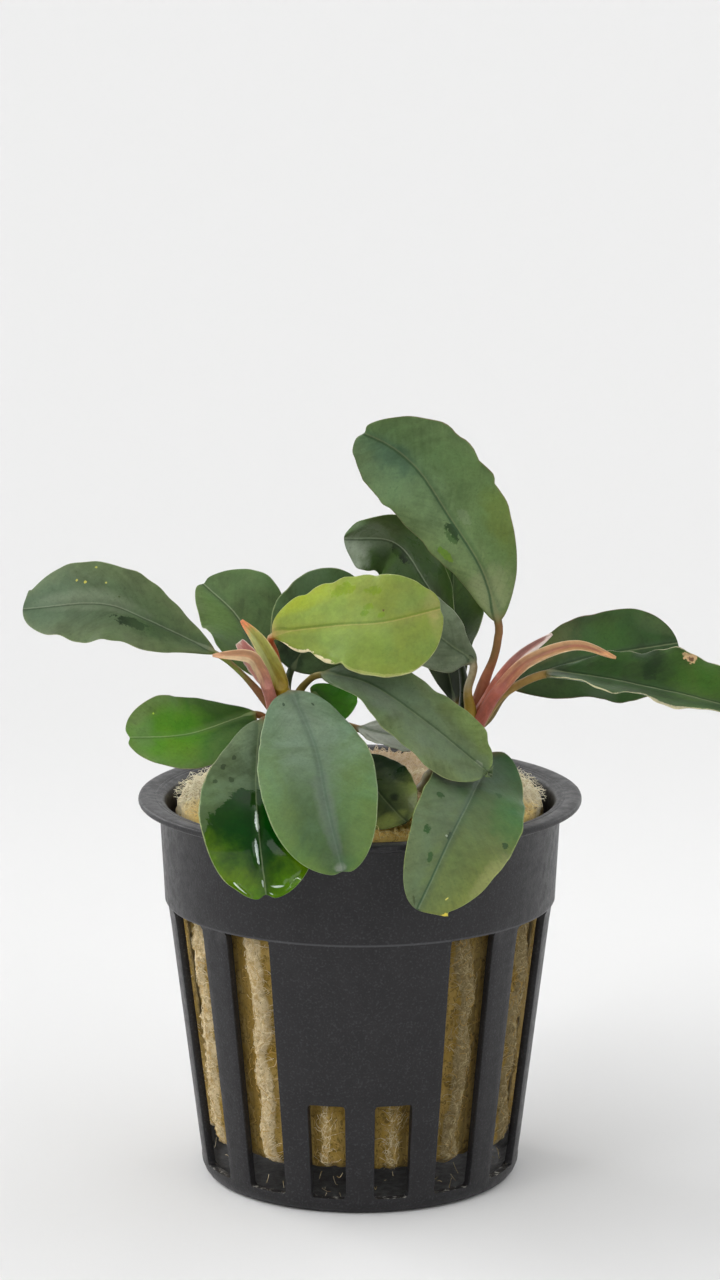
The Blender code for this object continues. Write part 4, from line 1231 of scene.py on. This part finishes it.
leaf(
    "leaf_upright_back",
    leaf_skin(
        "skin_upright_back", ((26, 36, 14), (32, 44, 16)), ((62, 92, 22), (80, 104, 34)),
        dark=(22, 36, 10), rib=(24, 36, 20), line=(90, 104, 70),
    ),
    stalk=[(12.6, 0.2, 54.8), (12.5, 1.5, 56.3)],
    blade=[(12, 5, 58.5), (11, 8, 63), (11.5, 11, 68), (12, 15, 76.5)],
    face=(-30, 15), left=(1, 4.5, 6), right=(2.5, 5, 5), fold=15, phase=0.8,
)
leaf(
    "leaf_short_grey",
    leaf_skin(
        # Its grey is partly painted sheen over the leaf's own green
        "skin_short_grey", ((106, 118, 92), (110, 122, 96)), ((96, 112, 86), (106, 120, 94)),
        lip=(176, 178, 154), stalk=((160, 150, 122), (136, 122, 88), (146, 120, 44)), line_strength=0.3,
        patches=[(0.1, 0.06, 0.14, 0.04, (30, 36, 26), 0.7)],
    ),
    stalk=[(13.8, -2.2, 56.2), (13.6, -1.7, 59.2), (13.3, -1.0, 61.5)],
    blade=[(14, 1, 64.5), (11.5, 1.5, 66.5), (8.5, 2, 68.5), (3, 2.5, 70.5)],
    face=(-15, 40), left=(4, 5, 4), right=(1.5, 4, 5.5), fold=10, phase=2.2, wave=0.3, size=0.5,
    sheath=0.95,
)

# Right shoot, spreading leaves
leaf(
    "leaf_upper_right",
    leaf_skin(
        "skin_upper_right", ((52, 72, 32), (48, 72, 32)), ((44, 74, 30), (58, 84, 38)), dark=(26, 46, 20),
        lip=(130, 104, 84), blotch=0.5,
        patches=[(-0.3, 0.6, 0.5, 0.14, (60, 96, 34), 0.6), (-0.7, 0.3, 0.4, 0.16, (94, 98, 56), 0.7),
                 (-0.7, 0.9, 0.3, 0.1, (86, 98, 62), 0.3)],
    ),
    stalk=[(14.2, -0.2, 56.8), (16, 0.5, 58)],
    blade=[(19, 3, 61), (25, 6, 63), (31.5, 9, 64), (40, 11, 65)],
    face=(-10, 30), left=(3.5, 5.5, 7), right=(4.5, 6.5, 9.5), fold=8, phase=1.1, quilt=0.15,
)
leaf(
    "leaf_lower_right",
    leaf_skin(
        "skin_lower_right", ((44, 70, 28), (50, 78, 32)), ((36, 64, 18), (54, 84, 26)), dark=(24, 44, 14),
        lip=(206, 198, 160), stalk=((128, 104, 42), (150, 122, 66)), roughness=0.38, blotch=0.6,
        patches=[(0.99, 0.24, 0.05, 0.18, (208, 200, 160), 0.8),
                 (0.97, 0.7, 0.1, 0.22, (200, 190, 152), 0.7),
                 (-0.35, 0.76, 0.6, 0.14, (66, 100, 30), 0.6), (-0.6, 0.5, 0.3, 0.06, (18, 40, 10), 0.8),
                 (-0.9, 0.44, 0.25, 0.05, (24, 48, 10), 0.8), (-0.3, 0.5, 0.12, 0.04, (22, 42, 14), 0.8),
                 (-0.88, 0.66, 0.12, 0.035, (190, 160, 116), 0.95),
                 (-0.86, 0.665, 0.06, 0.015, (86, 60, 36), 0.9)],
    ),
    stalk=[(14.3, -1.4, 56.8), (16.2, -2.1, 59.8), (18.2, -2.2, 61.7)],
    blade=[(23, -3, 64), (29, -5, 64), (36, -7, 63), (46.5, -10, 61)],
    face=(15, 70), left=(2, 6.5, 8.5), right=(4.5, 6, 7.5), fold=20, phase=2.9, wave=0.5, waves=3,
    ripple=0.13, edge=0.06, size=0.5, quilt=0.15,
)
leaf(
    "leaf_right_front",
    leaf_skin(
        "skin_right_front", ((62, 88, 58), (58, 90, 50)), ((98, 112, 62), (108, 118, 56)),
        rib=(58, 76, 64), dark=(50, 76, 48), lip=(150, 164, 96), blotch=0.35,
        right_half=((90, 108, 84), 0.6), rib_side=0.15, rib_line=0.9, line=(126, 142, 116),
        line_strength=0.3,
        patches=[(0.6, 0.49, 0.09, 0.016, (30, 66, 22), 0.9), (0.6, 0.7, 0.09, 0.024, (30, 70, 18), 0.9),
                 (0.05, 0.67, 0.06, 0.02, (32, 56, 32), 0.9),
                 (0.12, 0.68, 0.03, 0.006, (156, 168, 146), 0.8),
                 (-0.45, 0.31, 0.07, 0.02, (36, 72, 30), 0.9),
                 (-0.8, 0.38, 0.08, 0.022, (36, 80, 30), 0.9),
                 (-0.85, 0.6, 0.06, 0.016, (36, 62, 28), 0.9), (0.3, 0.8, 0.07, 0.02, (44, 80, 34), 0.8),
                 (-0.8, 0.42, 0.35, 0.16, (62, 106, 56), 0.7),
                 (-0.55, 0.92, 0.02, 0.007, (206, 196, 96), 0.9),
                 (-0.95, 0.975, 0.1, 0.01, (212, 192, 72), 1.0),
                 (-0.97, 0.78, 0.2, 0.12, (142, 148, 92), 0.6), (0.5, 0.97, 0.1, 0.02, (60, 72, 40), 0.7)],
    ),
    stalk=[(11.2, -1.2, 53), (12, -2.7, 54.5)],
    blade=[(15.8, -4.5, 54), (13.9, -15, 52.2), (10.9, -25.5, 49), (8.6, -30.3, 45.2), (6.8, -32.6, 41.9)],
    face=(-5, 8), left=(6.5, 7.2, 8.8), right=(7, 5.6, 6), fold=5, phase=0.5, edge=0.07, quilt=0.2,
    spur=(-1, 0.978, 0.9),
)


# Crowns: a rolled young leaf and papery sheaths wrap the growing tips. They
# are thin, folded along their length, and pink and orange to tan or mauve.

def bract_skin(name, one_side, other_side, base, tip, crease, lip=(222, 200, 160), crease_width=0.3,
               base_start=-0.4, base_end=0.25):
    """Colours of the two sides, the base, the tip, the fold and the thin edge."""
    finish, tree, shader = start_finish(name, 0.42)
    u, s = read_marks(tree, "blade")[:2]
    across, run = read_marks(tree, "reach")[:2]
    streak = drawn_noise(tree, times(tree, across, 2.6), times(tree, run, 0.3), 1.0)
    fine = grain(tree, 1500, 4.0, 0.65)
    uneven = off_middle(tree, streak, 1.0)
    shade = blend_colour(
        tree, ramp(tree, plus(tree, u, uneven), -0.35, 0.35), paint(*one_side), paint(*other_side))
    rib = work_out(tree, "ABSOLUTE", plus(tree, u, times(tree, uneven, 0.3)))
    shade = tinted(tree, shade, ramp(tree, rib, crease_width, 0.05, 0.0, 0.75), crease)
    shade = tinted(tree, shade, ramp(tree, rib, 0.8, 0.97, 0.0, 0.7), lip)
    place = plus(tree, s, times(tree, uneven, 0.5))
    shade = tinted(tree, shade, ramp(tree, place, base_end, base_start), base)
    shade = tinted(tree, shade, ramp(tree, place, 0.78, 0.97), tip)
    mottle = ramp(tree, fine, 0.3, 0.7, 0.92, 1.08)
    mottle = times(tree, mottle, ramp(tree, streak, 0.3, 0.7, 0.8, 1.14))
    tree.links.new(shift_tone(tree, shade, mottle), shader.inputs["Base Color"])
    raise_surface(tree, shader, plus(tree, streak, fine), 0.00009, 0.7)
    shader.inputs["Subsurface Weight"].default_value = 0.12
    shader.inputs["Subsurface Radius"].default_value = (0.001, 0.0005, 0.0003)
    return finish


PLAIN_FORM = {"wave": 0, "pleats": 0.0, "ripple": 0.0, "quilt": 0.02}

leaf(
    "young_leaf_left",
    bract_skin(
        "skin_young", (178, 182, 112), (162, 162, 78), (164, 136, 30), (226, 138, 88), (146, 144, 56),
        lip=(222, 200, 138), base_start=-0.1, base_end=0.5,
    ),
    stalk=[(-9.1, -2.4, 57.6), (-9.3, -2.7, 60.0)],
    blade=[(-9.7, -3.1, 62.4), (-10.8, -3.9, 65.2), (-12.5, -4.5, 68.5), (-14.5, -4.6, 71.0)],
    face=(10, 10), left=(0.9, 0.95, 0.7), right=(1.0, 1.05, 0.65), fold=30, size=1.0, sheath=1.1,
    slot="leaf_bright", **PLAIN_FORM,
)
leaf(
    "bract_tan_left",
    bract_skin(
        "skin_tan", (212, 182, 142), (186, 138, 100), (188, 120, 108), (214, 164, 126), (188, 136, 98),
        base_start=-0.1, base_end=0.45,
    ),
    stalk=[(-10.2, -3.4, 58.6), (-10.8, -4.1, 60.7)],
    blade=[(-11.4, -4.7, 62.8), (-12.3, -5.4, 65.1), (-13.7, -6.1, 66.8), (-18, -6.4, 67.0)],
    face=(10, 20), left=(0.7, 0.75, 0.5), right=(0.7, 0.75, 0.5), fold=25, size=0.75, sheath=1.0,
    slot="bract", **PLAIN_FORM,
)
leaf(
    "bract_mauve_left",
    bract_skin(
        "skin_mauve_left", (206, 152, 144), (186, 118, 110), (214, 160, 150), (226, 218, 202),
        (170, 98, 92), lip=(226, 206, 198), base_start=-0.1, base_end=0.3,
    ),
    stalk=[(-10.3, -2.6, 58.6), (-10.7, -3.0, 60.9)],
    blade=[(-11.6, -3.5, 62.9), (-12.7, -3.7, 65.0), (-13.9, -3.6, 66.9), (-15.3, -3.2, 68.7)],
    face=(0, 10), left=(1.0, 1.1, 0.8), right=(1.0, 1.1, 0.8), fold=25, size=0.6, sheath=0.8,
    slot="bract", edge=0.15, notch=0.8, **PLAIN_FORM,
)
leaf(
    "spathe_right",
    bract_skin(
        "skin_spathe", (182, 140, 98), (176, 132, 88), (172, 92, 76), (206, 150, 100), (150, 88, 68),
        lip=(226, 204, 162), crease_width=0.5, base_start=-0.1, base_end=0.45,
    ),
    stalk=[(13.9, -2.0, 56.0), (15.4, -2.5, 59.2)],
    blade=[(17.0, -3.1, 61.9), (20.6, -4.3, 65.8), (26.3, -5, 67.9), (31.3, -5, 66.4)],
    face=(10, 30), left=(0.65, 0.65, 0.7), right=(0.65, 0.65, 0.7), fold=25, size=0.8, sheath=0.8,
    slot="bract", **PLAIN_FORM,
)
leaf(
    "bract_mauve_right",
    bract_skin(
        "skin_mauve_right", (152, 104, 96), (222, 204, 196), (184, 104, 84), (226, 206, 198),
        (160, 100, 90), lip=(228, 220, 212), base_start=0.0, base_end=0.5,
    ),
    stalk=[(14.2, -0.8, 57.0), (15.6, -1.1, 60.0)],
    blade=[(17.3, -1.3, 62.9), (19.9, -1.0, 65.8), (23.7, 0, 68.4)],
    face=(0, 20), left=(0.55, 0.6, 0.4), right=(0.55, 0.6, 0.4), fold=20, size=0.8, sheath=1.05,
    slot="bract", **PLAIN_FORM,
)


# Studio: a plain pale floor that runs into the backdrop, painted lighter near the
# pot as painted light against the shade there, a soft light all round with a long
# light panel on each side, and a camera above the pot.

FAR_FLOOR = paint(214, 214, 214)
NEAR_FLOOR_PAINTED_LIGHT = paint(224, 224, 224)
PANEL_GLOW = 26.0
PANEL_SINE = 0.6
PANEL_HALF_WIDTH = 0.027

bm = bmesh.new()
bmesh.ops.create_grid(bm, x_segments=1, y_segments=1, size=6.0)
mesh = bpy.data.meshes.new("floor")
bm.to_mesh(mesh)
bm.free()
floor = bpy.data.objects.new("floor", mesh)
bpy.context.scene.collection.objects.link(floor)
pale, tree, shader = start_finish("pale_floor", 1.0)
# Painted light: the floor is lighter near the pot, to offset the shadow and shade that fall there
spot = place_parts(tree)
away = plus(tree, times(tree, spot["X"], spot["X"]),
                times(tree, spot["Y"], spot["Y"]))
away = ramp(tree, work_out(tree, "SQRT", away), 0.05, 0.3)
tree.links.new(blend_colour(tree, away, NEAR_FLOOR_PAINTED_LIGHT, FAR_FLOOR), shader.inputs["Base Color"])
shader.inputs["Specular IOR Level"].default_value = 0.0
mesh.materials.append(pale)

# Light comes from both sides and from behind; it is darker above the front
world = bpy.data.worlds.new("studio")
bpy.context.scene.world = world
world.use_nodes = True
tree = world.node_tree
sky = add_node(tree, "ShaderNodeTexCoord").outputs["Generated"]
sky = add_node(tree, "ShaderNodeSeparateXYZ", {0: sky})
sideways = work_out(tree, "ABSOLUTE", sky.outputs["X"])
glow = ramp(tree, sideways, 0.35, 0.6, 0.34, 0.95)
glow = plus(tree, glow, ramp(tree, sky.outputs["Y"], 0.25, 0.65, 0.0, 0.7))
panel = ramp(tree, sideways, PANEL_SINE - PANEL_HALF_WIDTH, PANEL_SINE)
panel = times(tree, panel, ramp(tree, sideways, PANEL_SINE + PANEL_HALF_WIDTH, PANEL_SINE))
panel = times(tree, panel, ramp(tree, sky.outputs["Z"], 0.3, 0.45, 0.0, PANEL_GLOW))
weaker = ramp(tree, sky.outputs["X"], 0.1, -0.1, 0.25, 1.0)
glow = plus(tree, glow, times(tree, panel, weaker))
tree.links.new(glow, tree.nodes["Background"].inputs["Strength"])
tree.nodes["Background"].inputs["Color"].default_value = (1.0, 1.0, 1.0, 1.0)


def soft_sun(name, azimuth, elevation, strength, spread):
    lamp = bpy.data.lights.new(name, "SUN")
    lamp.energy = strength
    lamp.angle = math.radians(spread)
    holder = bpy.data.objects.new(name, lamp)
    holder.rotation_euler = facing(azimuth, elevation).to_track_quat("Z", "Y").to_euler()
    bpy.context.scene.collection.objects.link(holder)


soft_sun("key_light", -25, 45, 0.45, 30)
soft_sun("fill_light", 30, 25, 0.25, 40)

CAMERA_PLACE = (0, -0.5385, 0.1765)
CAMERA_DOWN = 11.43
LENS_MM = 125.3
SENSOR_MM = 36.0

camera = bpy.data.cameras.new("camera")
camera.sensor_fit = "AUTO"
camera.sensor_width = SENSOR_MM
camera.lens = LENS_MM
camera.clip_start = 0.01
holder = bpy.data.objects.new("camera", camera)
holder.location = CAMERA_PLACE
holder.rotation_euler = (math.radians(90 - CAMERA_DOWN), 0, 0)
bpy.context.scene.collection.objects.link(holder)
bpy.context.scene.camera = holder
bpy.context.scene.view_settings.view_transform = "Standard"
